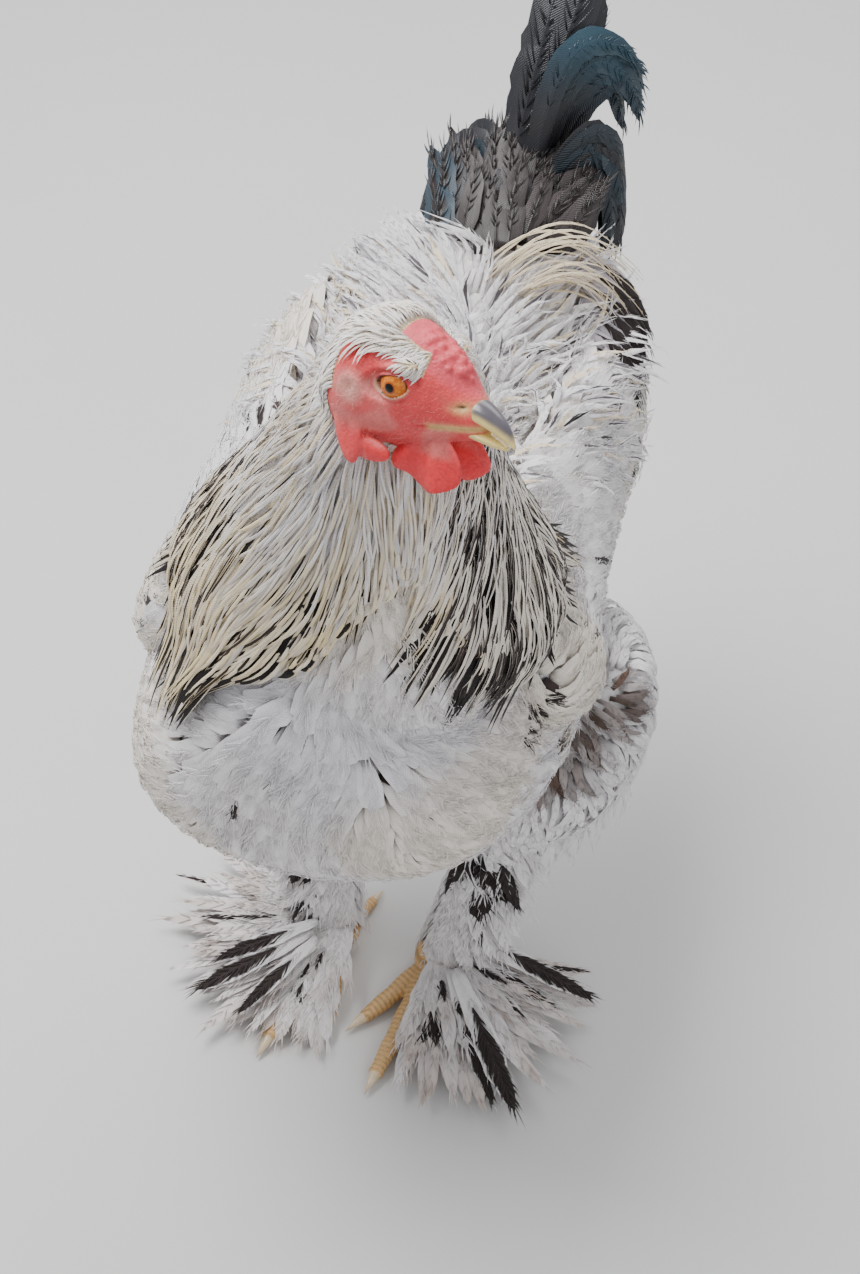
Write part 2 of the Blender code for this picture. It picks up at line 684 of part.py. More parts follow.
def add_tail_feathers(tail, look, draw):
    """Two fans of broad feathers that meet over the middle, with sickles and coverts outside."""
    base = Vector((0.007, 0.242, 0.436))
    vanes = []
    for side in (1, -1):
        for k in range(3):
            share = k / 2
            raised = math.radians(66 - 40 * share)
            splay = math.radians(4 + 13 * share)
            way = Vector((side * math.sin(splay), math.cos(raised), math.sin(raised)))
            root = base + Vector((side * (0.006 + 0.004 * k), 0.008 * k, -0.009 * k))
            length = (0.178 - 0.050 * share) * draw.uniform(0.97, 1.03)
            facing = Vector((side * (0.35 + 0.26 * k), -0.85 + 0.28 * k, 0.45))
            bend = Vector((side * 0.05, 0.10, -0.06))
            vanes.append(free_vane(root, way, bend, facing, length, 0.0190, 0.0013, look, 4, 0.7))
        root = base + Vector((side * 0.018, 0.004, 0.004))
        way = Vector((side * 0.16, 0.52, 0.88))
        bend = Vector((side * 0.16, 0.34, -0.62))
        facing = Vector((side * 0.8, -0.5, 0.4))
        vanes.append(free_vane(root, way, bend, facing, 0.150, 0.0105, 0.0013, look, 6, 0.5))
        for k in range(3):
            share = k / 2
            root = base + Vector((side * (0.016 + 0.004 * k), -0.006, -0.002 - 0.011 * k))
            way = Vector((side * (0.20 + 0.20 * share), 0.70, 0.62 - 0.50 * share))
            bend = Vector((side * 0.08, 0.16, -0.72 + 0.20 * share))
            length = (0.108 - 0.020 * share) * draw.uniform(0.95, 1.05)
            facing = Vector((side, -0.25, 0.35))
            vanes.append(free_vane(root, way, bend, facing, length, 0.0130, 0.0012, look, 5))
    for tier in range(2):
        for k in range(4 - tier):
            turn = math.radians(-60 + 40 * (k + 0.5 * tier))
            round_base = Vector((math.sin(turn) * 0.030, -math.cos(turn) * 0.020, 0))
            root = base + round_base + Vector((0, 0.004 + 0.006 * tier, -0.014 + 0.018 * tier))
            way = Vector((math.sin(turn) * 0.30, 0.34 - 0.16 * math.cos(turn), 0.86))
            bend = Vector((math.sin(turn) * 0.10, 0.30, -0.25))
            facing = Vector((math.sin(turn), -math.cos(turn), 0.30))
            length = 0.062 * draw.uniform(0.92, 1.08)
            vanes.append(free_vane(root, way, bend, facing, length, 0.0190, 0.0012, look, 4))
    fuse(tail, vanes)


def build_thigh(name, side, look):
    hock = HOCK[name.split("_")[1]]
    rows = ((0.285, 0.045), (0.255, 0.062), (0.220, 0.067), (0.185, 0.057), (0.155, 0.038), (0.130, 0.021))
    rings = []
    for z in spread(0.285, 0.130, 8):
        radius, = values_at(rows, z)
        share = (0.285 - z) / (0.285 - 0.130)
        outward = 0.088 if side > 0 else 0.076
        centre = Vector((side * outward, 0.040, z)).lerp(Vector((hock.x, hock.y, z)), share**1.6)
        rings.append(ellipse_ring(centre, Vector((1, 0, 0)), Vector((0, 1, 0)), radius, radius * 1.15, radius, 14))
    return loft(name, rings, look)


def build_shank(name, look):
    key = name.split("_")[1]
    hock, foot = HOCK[key], FOOT[key]
    spine = [hock.lerp(foot, t) for t in (-0.02, 0.20, 0.45, 0.70, 0.92)]
    radii = (0.014, 0.0165, 0.0165, 0.0155, 0.0125)
    return tube(name, spine, radii, look, 10, up=Vector((0, 1, 0)))


def add_shank_feathers(shank, side, look, draw):
    """Feathers that stand out and down from the outer side of the shank, in three tiers."""
    key = shank.name.split("_")[1]
    hock, foot = HOCK[key], FOOT[key]
    vanes = []
    for tier in range(3):
        place = hock.lerp(foot, 0.08 + 0.20 * tier)
        for k in range(3):
            turn = math.radians(-20 + 62 * k + 20 * (tier % 2))
            out = Vector((side * math.sin(turn), -math.cos(turn), 0))
            way = out * 0.62 + Vector((0, 0, -0.78))
            length = 0.046 * draw.uniform(0.92, 1.10)
            root = place + out * 0.009
            vanes.append(free_vane(root, way, Vector((0, 0, -0.05)), out, length, 0.0130, 0.0012, look, 4))
    fuse(shank, vanes)


def toe_line(key, toe):
    """Points along a toe, from the foot's centre to the root of its claw."""
    side = 1 if key == "left" else -1
    angle, length, radius = TOES[toe]
    turn = FOOT_TURN[key] + side * angle
    way = Vector((math.sin(turn), -math.cos(turn), 0))
    foot = Vector((FOOT[key].x, FOOT[key].y, 0))
    points, radii = [], []
    scutes = round(length / 0.018)
    for i, share in enumerate(spread(0.0, 1.0, 2 * scutes + 1)):
        size = radius * (1.0 - 0.42 * share) * (1.05 if i % 2 else 0.93)
        arch = 0.004 * math.sin(math.pi * share) * (1 - share)
        points.append(foot + way * length * share + Vector((0, 0, size * 0.92 + arch + 0.004 * (1 - share) ** 3)))
        radii.append(size)
    return points, radii, way


def build_foot(name, look):
    """The foot with its four toes, ringed by scutes."""
    key = name.split("_")[1]
    palm = ball(name, Vector((FOOT[key].x, FOOT[key].y, 0.0165)), (0.0150, 0.0150, 0.0190), look, 10, 8)
    pieces = []
    for toe in TOES:
        points, radii, _ = toe_line(key, toe)
        pieces.append(tube(toe, points, radii, look, 6))
    fuse(palm, pieces)
    return palm


def add_toe_feathers(foot, side, look, draw):
    """Long stiff feathers that fan out from the outer toe and the side of the foot."""
    key = foot.name.split("_")[1]
    centre = Vector((FOOT[key].x, FOOT[key].y, 0))
    vanes = []
    for tier, (count, length, low) in enumerate(((5, 0.098, 0.0135), (4, 0.076, 0.0205))):
        for k in range(count):
            angle = math.radians(14 + 98 * (k + 0.5 * tier) / count)
            turn = FOOT_TURN[key] + side * angle
            way = Vector((math.sin(turn), -math.cos(turn), 0.10))
            root = centre + Vector((way.x, way.y, 0)) * 0.006 + Vector((0, 0, low))
            size = length * (1 + 0.14 * math.sin(math.pi * k / (count - 1))) * draw.uniform(0.94, 1.06)
            facing = Vector((0, 0, 1)) + Vector((way.y, -way.x, 0)) * 0.12 * (1 if k % 2 else -1)
            vanes.append(free_vane(root, way, Vector((0, 0, -0.11)), facing, size, 0.0135, 0.0012, look, 4, 0.62))
    fuse(foot, vanes)


def build_claw(name, key, toe, look):
    points, radii, way = toe_line(key, toe)
    start, size = points[-1], radii[-1]
    length = 0.015 if toe != "hind" else 0.012
    spine, sizes = [], []
    for share in spread(-0.25, 1.0, 4):
        drop = 0.0022 * max(share, 0) ** 2
        spine.append(start + way * length * share + Vector((0, 0, 0.0004 - drop)))
        sizes.append(size * 0.70 * (1 - 0.92 * max(share, 0)))
    return tube(name, spine, sizes, look, 6)


def flatten_sole(obj):
    """Levels the lowest faces of a foot, so that it stands on flats at z = 0."""
    for vert in obj.data.vertices:
        if vert.co.z < SOLE_FLAT:
            vert.co.z = 0.0


def main():
    clear_scene()
    draw = random.Random(7)
    white = make_material("white_plumage", (0.78, 0.74, 0.68), 0.85)
    hackle = make_material("hackle_plumage", (0.62, 0.55, 0.42), 0.75)
    black = make_material("black_plumage", (0.02, 0.025, 0.035), 0.45)
    flesh = make_material("red_flesh", (0.72, 0.07, 0.05), 0.55)
    horn = make_material("horn", (0.55, 0.42, 0.18), 0.40)
    scales = make_material("yellow_scales", (0.72, 0.48, 0.16), 0.50)
    iris = make_material("orange_iris", (0.80, 0.26, 0.04), 0.12)

    torso = build_torso(white)
    head = build_head(flesh)
    eyes = [build_eye("eye_" + name, side, iris) for name, side in SIDES]
    beak_upper = build_beak("beak_upper", BEAK_UPPER_ROWS, 1.0, 0.55, 12, horn)
    beak_lower = build_beak("beak_lower", BEAK_LOWER_ROWS, 0.4, 1.0, 12, horn)
    comb = build_comb(flesh)
    wattles = [build_wattle("wattle_" + name, side, flesh) for name, side in SIDES]
    lobes = [build_earlobe("earlobe_" + name, side, flesh) for name, side in SIDES]
    turn_with_head([head, comb, beak_upper, beak_lower, *eyes, *wattles, *lobes])

    neck = build_neck(hackle)
    wings = [build_wing("wing_" + name, side, white) for name, side in SIDES]
    for wing in wings:
        cut(wing, neck, torso)
    ears = build_ears(flesh)
    turn_with_head(ears)
    cut(neck, torso, head, *ears, *lobes, *wattles)
    for piece in (comb, *wattles, *lobes):
        cut(piece, head)
    for piece in (comb, *wattles):
        cut(piece, beak_upper, beak_lower)
    for lobe, ear in zip(lobes, ears):
        cut(lobe, ear)
    cut(beak_lower, head, beak_upper)
    cut(beak_upper, head)
    open_face(head, eyes, ears, flesh)

    tail = build_tail(black)
    thighs = [build_thigh("thigh_" + name, side, white) for name, side in SIDES]
    add_tail_feathers(tail, black, draw)
    for piece in (tail, *thighs):
        cut(piece, torso)
    for wing, thigh, (_, side) in zip(wings, thighs, SIDES):
        cut(thigh, wing)
        add_wing_feathers(wing, torso, side, white, draw)
    add_saddle(torso, wings, tail, white, draw)
    add_hackle(neck, torso, wings, hackle, draw)

    for (name, side), thigh in zip(SIDES, thighs):
        foot = build_foot("foot_" + name, scales)
        flatten_sole(foot)
        shank = build_shank("shank_" + name, white)
        cut(shank, thigh, foot)
        for toe in TOES:
            claw = build_claw("claw_" + name + "_" + toe, name, toe, horn)
            cut(claw, foot)
        add_shank_feathers(shank, side, white, draw)
        add_toe_feathers(foot, side, scales, draw)
    for obj in bpy.data.objects:
        obj.data.transform(Matrix.Translation(-ORIGIN))


main()
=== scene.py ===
"""The looks of the brahma cock: skin, feathers, beak, eyes, claws, floor, light and camera.

Shapes are worked out in the bird's own modelling space, in metres: it faces -Y, its left
side is +X and the floor is z = 0. ORIGIN is the frame's origin in that space.
"""

import math

import bmesh
import bpy
import numpy as np
from mathutils import Euler, Matrix, Vector
from mathutils.bvhtree import BVHTree

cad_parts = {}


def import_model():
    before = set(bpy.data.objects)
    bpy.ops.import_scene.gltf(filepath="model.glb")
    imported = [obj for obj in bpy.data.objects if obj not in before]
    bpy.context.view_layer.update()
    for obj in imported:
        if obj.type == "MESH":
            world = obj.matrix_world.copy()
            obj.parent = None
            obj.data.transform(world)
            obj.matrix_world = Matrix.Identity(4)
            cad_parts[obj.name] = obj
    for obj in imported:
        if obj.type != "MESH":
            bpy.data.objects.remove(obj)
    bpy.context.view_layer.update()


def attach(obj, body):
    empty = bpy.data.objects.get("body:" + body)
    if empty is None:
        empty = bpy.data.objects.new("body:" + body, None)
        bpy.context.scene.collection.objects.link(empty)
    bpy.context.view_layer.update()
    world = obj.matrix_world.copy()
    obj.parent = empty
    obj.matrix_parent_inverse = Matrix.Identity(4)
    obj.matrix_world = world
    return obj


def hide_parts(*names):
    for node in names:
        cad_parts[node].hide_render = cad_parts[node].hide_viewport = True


ORIGIN = Vector((0.002, 0.108, 0.0))
RNG = np.random.default_rng(11)
SIDES = (("left", 1), ("right", -1))

# How far the skin lies inside the outside of the plumage.
TORSO_COAT = 0.0145
# How much slimmer the left flank is behind the wing's bend than the right one.
LEFT_FLANK = 0.014
THIGH_COAT = 0.012
CORE_COAT = 0.003

# Torso with its plumage. y: middle x, top, widest height, bottom, half width
TORSO_ROWS = (
    (-0.160, -0.024, 0.350, 0.322, 0.304, 0.018),
    (-0.156, -0.025, 0.384, 0.315, 0.280, 0.048),
    (-0.143, -0.025, 0.412, 0.305, 0.255, 0.077),
    (-0.115, -0.023, 0.430, 0.292, 0.231, 0.102),
    (-0.075, -0.020, 0.434, 0.283, 0.217, 0.117),
    (-0.030, -0.017, 0.428, 0.278, 0.209, 0.125),
    (0.030, -0.014, 0.418, 0.276, 0.204, 0.127),
    (0.090, -0.009, 0.416, 0.288, 0.210, 0.125),
    (0.145, -0.003, 0.426, 0.316, 0.245, 0.121),
    (0.190, 0.003, 0.441, 0.346, 0.285, 0.110),
    (0.228, 0.007, 0.450, 0.378, 0.325, 0.084),
    (0.256, 0.009, 0.446, 0.400, 0.362, 0.050),
    (0.268, 0.010, 0.425, 0.406, 0.388, 0.018),
)
TORSO_TOP_POWER = 1.6
# Neck under its hackle. z: centre x, centre y, half width, half depth
NECK_ROWS = (
    (0.340, -0.014, -0.056, 0.066, 0.074),
    (0.370, -0.012, -0.058, 0.080, 0.084),
    (0.400, -0.010, -0.063, 0.088, 0.083),
    (0.430, -0.008, -0.072, 0.082, 0.073),
    (0.465, -0.004, -0.085, 0.069, 0.062),
    (0.500, 0.001, -0.098, 0.055, 0.050),
    (0.535, 0.006, -0.108, 0.043, 0.040),
    (0.572, 0.012, -0.118, 0.031, 0.030),
    (0.583, 0.0135, -0.1215, 0.0245, 0.0240),
    (0.591, 0.0150, -0.1250, 0.0165, 0.0160),
)
# Folded wing. y: height, half height
WING_ROWS = (
    (-0.065, 0.345, 0.020), (-0.040, 0.342, 0.042), (0.000, 0.340, 0.054), (0.060, 0.342, 0.052),
    (0.120, 0.352, 0.042), (0.170, 0.366, 0.028), (0.205, 0.380, 0.012),
)
# The head's own frame: the beak points along -Y, its left is +X.
HEAD_PLACE = Vector((0.018, -0.132, 0.5775))
HEAD_YAW = math.radians(59)
HEAD_PITCH = math.radians(-11)
HEAD_ROLL = math.radians(12)
# y: height of the middle, half width, reach up, reach down
HEAD_ROWS = (
    (0.036, -0.006, 0.009, 0.010, 0.011),
    (0.029, -0.006, 0.019, 0.021, 0.022),
    (0.015, -0.003, 0.0245, 0.027, 0.027),
    (0.000, 0.000, 0.0215, 0.028, 0.027),
    (-0.012, 0.000, 0.0185, 0.025, 0.024),
    (-0.024, -0.001, 0.0145, 0.019, 0.018),
    (-0.033, -0.003, 0.0105, 0.011, 0.013),
    (-0.039, -0.005, 0.0078, 0.0075, 0.0090),
    (-0.0425, -0.006, 0.0040, 0.0040, 0.0050),
)
EYE_PLACE = Vector((0.0125, -0.0060, 0.0050))
EYE_RADIUS = 0.0085
TAIL_BASE = np.array((0.007, 0.242, 0.436))
BEAK_UPPER_ROWS = (
    (-0.0310, -0.0022, 0.0080, 0.0064),
    (-0.0405, -0.0030, 0.0068, 0.0056),
    (-0.0480, -0.0058, 0.0048, 0.0046),
    (-0.0535, -0.0090, 0.0028, 0.0031),
    (-0.0568, -0.0125, 0.0008, 0.0010),
)
BEAK_LOWER_ROWS = (
    (-0.0310, -0.0095, 0.0075, 0.0032),
    (-0.0405, -0.0105, 0.0062, 0.0034),
    (-0.0480, -0.0122, 0.0038, 0.0026),
    (-0.0530, -0.0136, 0.0014, 0.0012),
)

HOCK = {"left": Vector((0.057, 0.016, 0.126)), "right": Vector((-0.046, 0.025, 0.124))}
FOOT = {"left": Vector((0.034, -0.001, 0.021)), "right": Vector((-0.033, 0.008, 0.021))}
FOOT_TURN = {"left": math.radians(-13), "right": math.radians(-16)}
# name: angle from the middle toe, length, radius at the root
TOES = {
    "inner": (math.radians(-24), 0.062, 0.0085),
    "middle": (math.radians(0), 0.092, 0.0090),
    "outer": (math.radians(36), 0.074, 0.0080),
    "hind": (math.radians(187), 0.040, 0.0070),
}

# The camera, found from the photograph.
CAMERA_PLACE = Vector((0.132, -0.7885, 1.080))
CAMERA_AZIMUTH = math.radians(8.47)
CAMERA_ELEVATION = math.radians(44.23)
CAMERA_ROLL = math.radians(4.16)
FOCAL_PIXELS = 2000.0
PHOTO_HEIGHT = 1274

WHITE = np.array((0.84, 0.805, 0.80))
# Painted shade: the lilac that white plumage takes in shade, mixed into white feathers.
SHADED_WHITE = np.array((0.76, 0.735, 0.79))
CREAM = np.array((0.82, 0.66, 0.37))
TAN = np.array((0.58, 0.44, 0.24))
GREY = np.array((0.36, 0.33, 0.36))
DIRTY = np.array((0.47, 0.35, 0.28))
DARK = np.array((0.020, 0.014, 0.013))
BROWN = np.array((0.115, 0.070, 0.050))
TAIL_BLACK = np.array((0.018, 0.018, 0.023))
# The green-blue sheen of the tail, painted into the colour of its feathers.
TAIL_SHEEN_BLUE = np.array((0.014, 0.060, 0.092))
FACE_RED = np.array((0.74, 0.060, 0.065))
COMB_RED = np.array((0.74, 0.080, 0.105))
WATTLE_RED = np.array((0.78, 0.038, 0.045))
PALE_PINK = np.array((0.80, 0.42, 0.36))
LID_CREAM = np.array((0.80, 0.48, 0.30))
# Dark of the upper lid's edge, and painted shade in the eye's hollow and the nostril.
LID_AND_HOLLOW_DARK = np.array((0.06, 0.015, 0.012))
YELLOW = np.array((0.74, 0.46, 0.20))
HORN_DARK = np.array((0.085, 0.075, 0.090))
HORN_YELLOW = np.array((0.76, 0.60, 0.22))

# The height that the hackle's tips reach, by the angle around the neck from the throat.
HACKLE_EDGE = (
    (-180, 0.372), (-130, 0.350), (-94, 0.332), (-70, 0.334), (-51, 0.346), (-34, 0.344), (-25, 0.362),
    (-14, 0.395), (0, 0.430), (12, 0.455), (28, 0.470), (38, 0.447), (46, 0.426), (66, 0.387), (87, 0.350),
    (101, 0.338), (119, 0.322), (150, 0.345), (180, 0.372),
)
# The cream feathers that arch over the left of the rump: root, middle and tip.
SADDLE_ARCHES = (
    (np.array((0.012, 0.166, 0.430)), np.array((0.048, 0.196, 0.444)), np.array((0.086, 0.208, 0.414))),
    (np.array((0.030, 0.158, 0.430)), np.array((0.062, 0.178, 0.430)), np.array((0.094, 0.192, 0.394))),
)
# Black marks that stand alone on the breast: place and reach.
BREAST_MARKS = (
    (0.084, -0.062, 0.350, 0.006), (0.090, -0.064, 0.340, 0.006), (0.080, -0.068, 0.330, 0.006),
    (0.078, -0.078, 0.322, 0.005), (0.020, -0.150, 0.352, 0.004), (-0.052, -0.160, 0.322, 0.004),
    (0.012, -0.150, 0.366, 0.003), (0.036, -0.138, 0.384, 0.004), (-0.035, -0.158, 0.340, 0.003),
)
# Black marks on the feathers of the legs: place and reach.
LEG_MARKS = (
    (0.034, 0.003, 0.092, 0.007), (0.041, -0.002, 0.105, 0.009), (0.053, -0.003, 0.116, 0.010),
    (0.066, 0.000, 0.109, 0.010), (0.077, -0.002, 0.097, 0.010), (0.043, -0.014, 0.090, 0.007),
    (0.050, -0.012, 0.097, 0.008), (0.060, -0.008, 0.086, 0.007), (0.049, -0.017, 0.078, 0.006),
    (0.046, -0.034, 0.034, 0.006), (0.042, -0.060, 0.022, 0.008), (0.056, -0.046, 0.034, 0.008),
    (0.100, 0.004, 0.056, 0.008), (-0.041, -0.018, 0.056, 0.013), (-0.028, -0.018, 0.050, 0.012),
    (-0.055, -0.012, 0.040, 0.010), (-0.036, -0.030, 0.034, 0.009), (-0.030, -0.056, 0.024, 0.008),
    (-0.046, -0.050, 0.026, 0.009), (-0.072, -0.030, 0.032, 0.010), (-0.060, 0.000, 0.075, 0.010),
)
# The foot whose toes the feathers hide in the photograph.
COVERED_TOES = ("right",)
# The long black feathers of each foot: root, tip and half width.
BLACK_TOE_FEATHERS = {
    "left": (
        ((0.050, -0.022, 0.036), (0.104, -0.100, 0.012), 0.0080), ((0.046, -0.022, 0.034), (0.090, -0.098, 0.010), 0.0060),
        ((0.052, 0.002, 0.044), (0.140, -0.010, 0.018), 0.0070), ((0.052, -0.004, 0.036), (0.128, -0.026, 0.012), 0.0045),
    ),
    "right": (
        ((-0.046, -0.014, 0.036), (-0.112, -0.062, 0.016), 0.0070), ((-0.044, -0.010, 0.042), (-0.104, -0.040, 0.022), 0.0060),
        ((-0.042, -0.020, 0.038), (-0.080, -0.076, 0.020), 0.0050),
    ),
}


def spread(start, end, count):
    return [start + (end - start) * i / (count - 1) for i in range(count)]


def values_at(rows, place):
    """The values at one place, on a smooth curve through the rows."""
    ordered = sorted(rows)
    place = min(max(place, ordered[0][0]), ordered[-1][0])
    last = len(ordered) - 1
    index = next(i for i in range(last) if place <= ordered[i + 1][0])
    start, end = ordered[index], ordered[index + 1]
    before, after = ordered[max(index - 1, 0)], ordered[min(index + 2, last)]
    span = end[0] - start[0]
    share = (place - start[0]) / span
    found = []
    for column in range(1, len(start)):
        slope_start = (end[column] - before[column]) / (end[0] - before[0]) * span
        slope_end = (after[column] - start[column]) / (after[0] - start[0]) * span
        found.append(
            (2 * share**3 - 3 * share**2 + 1) * start[column]
            + (share**3 - 2 * share**2 + share) * slope_start
            + (3 * share**2 - 2 * share**3) * end[column]
            + (share**3 - share**2) * slope_end
        )
    return found


def smooth_step(low, high, value):
    share = np.clip((np.asarray(value) - low) / (high - low), 0.0, 1.0)
    return share * share * (3 - 2 * share)


def unit(vectors):
    return vectors / np.maximum(np.linalg.norm(vectors, axis=-1, keepdims=True), 1e-9)


def head_matrix():
    turn = Euler((HEAD_PITCH, HEAD_ROLL, 0)).to_matrix().to_4x4()
    return Matrix.Translation(HEAD_PLACE) @ Matrix.Rotation(HEAD_YAW, 4, "Z") @ turn


def to_head(points):
    """Points of the modelling space in the head's own frame."""
    matrix = np.array(head_matrix().inverted())
    return points @ matrix[:3, :3].T + matrix[:3, 3]


# Meshes


def link(name, mesh):
    obj = bpy.data.objects.new(name, mesh)
    bpy.context.scene.collection.objects.link(obj)
    return obj


def loft_data(rings):
    """Points and faces of a closed tube through the rings, closed by a fan at each end."""
    around = len(rings[0])
    points = [p for ring in rings for p in ring]
    faces = []
    for r in range(len(rings) - 1):
        for i in range(around):
            j = (i + 1) % around
            faces.append((r * around + i, r * around + j, (r + 1) * around + j, (r + 1) * around + i))
    for first, ring in ((0, rings[0]), ((len(rings) - 1) * around, rings[-1])):
        points.append(sum((Vector(p) for p in ring), Vector()) / around)
        for i in range(around):
            faces.append((len(points) - 1, first + i, first + (i + 1) % around))
    return points, faces


def tube_data(spine, radii, around=16):
    rings = []
    last = len(spine) - 1
    for i, (point, radius) in enumerate(zip(spine, radii)):
        along = (spine[min(i + 1, last)] - spine[max(i - 1, 0)]).normalized()
        up = Vector((0, 0, 1)) if abs(along.z) < 0.8 else Vector((0, 1, 0))
        side = along.cross(up).normalized()
        top = side.cross(along)
        angles = [2 * math.pi * k / around for k in range(around)]
        rings.append([point + (side * math.cos(a) + top * math.sin(a)) * radius for a in angles])
    return loft_data(rings)


def ball_data(centre, radii, turn=None, segments=24, rings=16):
    shaper = bmesh.new()
    bmesh.ops.create_uvsphere(shaper, u_segments=segments, v_segments=rings, radius=1.0)
    matrix = Matrix.Translation(centre) @ (turn or Matrix()) @ Matrix.Diagonal((*radii, 1.0))
    bmesh.ops.transform(shaper, matrix=matrix, verts=shaper.verts)
    points = [v.co.copy() for v in shaper.verts]
    faces = [tuple(v.index for v in f.verts) for f in shaper.faces]
    shaper.free()
    return points, faces


def ellipse_ring(centre, across, upward, half_width, reach_up, reach_down, around):
    ring = []
    for k in range(around):
        angle = 2 * math.pi * k / around
        reach = reach_up if math.sin(angle) > 0 else reach_down
        ring.append(centre + across * half_width * math.cos(angle) + upward * reach * math.sin(angle))
    return ring


def melt(name, shapes, voxel, smooth=0):
    """One closed skin around all the shapes, each given as points and faces."""
    points, faces = [], []
    for shape_points, shape_faces in shapes:
        first = len(points)
        points += [tuple(p) for p in shape_points]
        faces += [[first + i for i in face] for face in shape_faces]
    mesh = bpy.data.meshes.new(name)
    mesh.from_pydata(points, [], faces)
    shaper = bmesh.new()
    shaper.from_mesh(mesh)
    bmesh.ops.recalc_face_normals(shaper, faces=shaper.faces)
    shaper.to_mesh(mesh)
    shaper.free()
    obj = link(name, mesh)
    remesh = obj.modifiers.new("Remesh", "REMESH")
    remesh.mode = "VOXEL"
    remesh.voxel_size = voxel
    if smooth:
        soften = obj.modifiers.new("Soften", "SMOOTH")
        soften.iterations = smooth
        soften.factor = 0.5
    graph = bpy.context.evaluated_depsgraph_get()
    made = bpy.data.meshes.new_from_object(obj.evaluated_get(graph))
    bpy.data.objects.remove(obj, do_unlink=True)
    return mesh_arrays(made)


def mesh_arrays(mesh):
    """Points, and each face's corners."""
    points = np.empty(len(mesh.vertices) * 3)
    mesh.vertices.foreach_get("co", points)
    faces = [tuple(face.vertices) for face in mesh.polygons]
    return points.reshape(-1, 3), faces


def make_object(name, points, faces, material, attributes=None, smooth=True):
    """An object of the modelling space, moved into the frame, with point attributes."""
    mesh = bpy.data.meshes.new(name)
    mesh.from_pydata((np.asarray(points) - np.array(ORIGIN)).tolist(), [], faces)
    mesh.materials.append(material)
    for key, (kind, values) in (attributes or {}).items():
        put_attribute(mesh, key, kind, values)
    if smooth:
        mesh.shade_smooth()
    return link(name, mesh)


def put_attribute(mesh, key, kind, values):
    layer = mesh.attributes.new(key, kind, "POINT")
    field = {"FLOAT": "value", "FLOAT_VECTOR": "vector", "FLOAT_COLOR": "color"}[kind]
    layer.data.foreach_set(field, np.ascontiguousarray(values, dtype=np.float32).ravel())


def with_alpha(colours, alpha=1.0):
    colours = np.asarray(colours)
    alphas = np.broadcast_to(alpha, colours.shape[:-1])[..., None]
    return np.concatenate([colours, alphas], axis=-1)


# Materials


class Nodes:
    """Short calls for the nodes of one material."""

    def __init__(self, name, roughness, sheen=0.0, coat=0.0, subsurface=0.0, specular=0.5):
        self.material = bpy.data.materials.new(name)
        self.material.use_nodes = True
        self.tree = self.material.node_tree
        self.shader = self.tree.nodes["Principled BSDF"]
        self.shader.inputs["Roughness"].default_value = roughness
        self.shader.inputs["Specular IOR Level"].default_value = specular
        self.shader.inputs["Sheen Weight"].default_value = sheen
        self.shader.inputs["Sheen Roughness"].default_value = 0.5
        self.shader.inputs["Coat Weight"].default_value = coat
        self.shader.inputs["Coat Roughness"].default_value = 0.08
        self.shader.inputs["Subsurface Weight"].default_value = subsurface
        self.shader.inputs["Subsurface Scale"].default_value = 0.004
        self.shader.inputs["Subsurface Radius"].default_value = (1.0, 0.35, 0.25)

    def wire(self, source, target):
        if isinstance(source, bpy.types.NodeSocket):
            self.tree.links.new(source, target)
        else:
            target.default_value = source

    def attribute(self, name):
        node = self.tree.nodes.new("ShaderNodeAttribute")
        node.attribute_name = name
        return node.outputs

    def math(self, operation, first, second=0.0, third=0.0):
        node = self.tree.nodes.new("ShaderNodeMath")
        node.operation = operation
        for source, target in zip((first, second, third), node.inputs):
            self.wire(source, target)
        return node.outputs[0]

    def step(self, low, high, value):
        node = self.tree.nodes.new("ShaderNodeMapRange")
        node.interpolation_type = "SMOOTHSTEP"
        self.wire(value, node.inputs["Value"])
        self.wire(low, node.inputs["From Min"])
        self.wire(high, node.inputs["From Max"])
        return node.outputs["Result"]

    def noise(self, scale, detail=3.0, vector=None, roughness=0.6):
        node = self.tree.nodes.new("ShaderNodeTexNoise")
        node.inputs["Scale"].default_value = scale
        node.inputs["Detail"].default_value = detail
        node.inputs["Roughness"].default_value = roughness
        self.tree.links.new(vector or self.place(), node.inputs["Vector"])
        return node.outputs["Fac"]

    def place(self):
        node = self.tree.nodes.new("ShaderNodeTexCoord")
        return node.outputs["Object"]

    def cells(self, scale):
        node = self.tree.nodes.new("ShaderNodeTexVoronoi")
        node.feature = "SMOOTH_F1"
        node.inputs["Scale"].default_value = scale
        self.tree.links.new(self.place(), node.inputs["Vector"])
        return node.outputs["Distance"]

    def mix(self, factor, first, second, blend="MIX"):
        node = self.tree.nodes.new("ShaderNodeMix")
        node.data_type = "RGBA"
        node.blend_type = blend
        self.wire(factor, node.inputs["Factor"])
        self.wire(first, node.inputs["A"])
        self.wire(second, node.inputs["B"])
        return node.outputs["Result"]

    def bump(self, height, strength, distance):
        node = self.tree.nodes.new("ShaderNodeBump")
        node.inputs["Strength"].default_value = strength
        node.inputs["Distance"].default_value = distance
        self.tree.links.new(height, node.inputs["Height"])
        self.tree.links.new(node.outputs["Normal"], self.shader.inputs["Normal"])

    def colour(self, socket):
        self.tree.links.new(socket, self.shader.inputs["Base Color"])


def grey(value):
    return (value, value, value, 1.0)


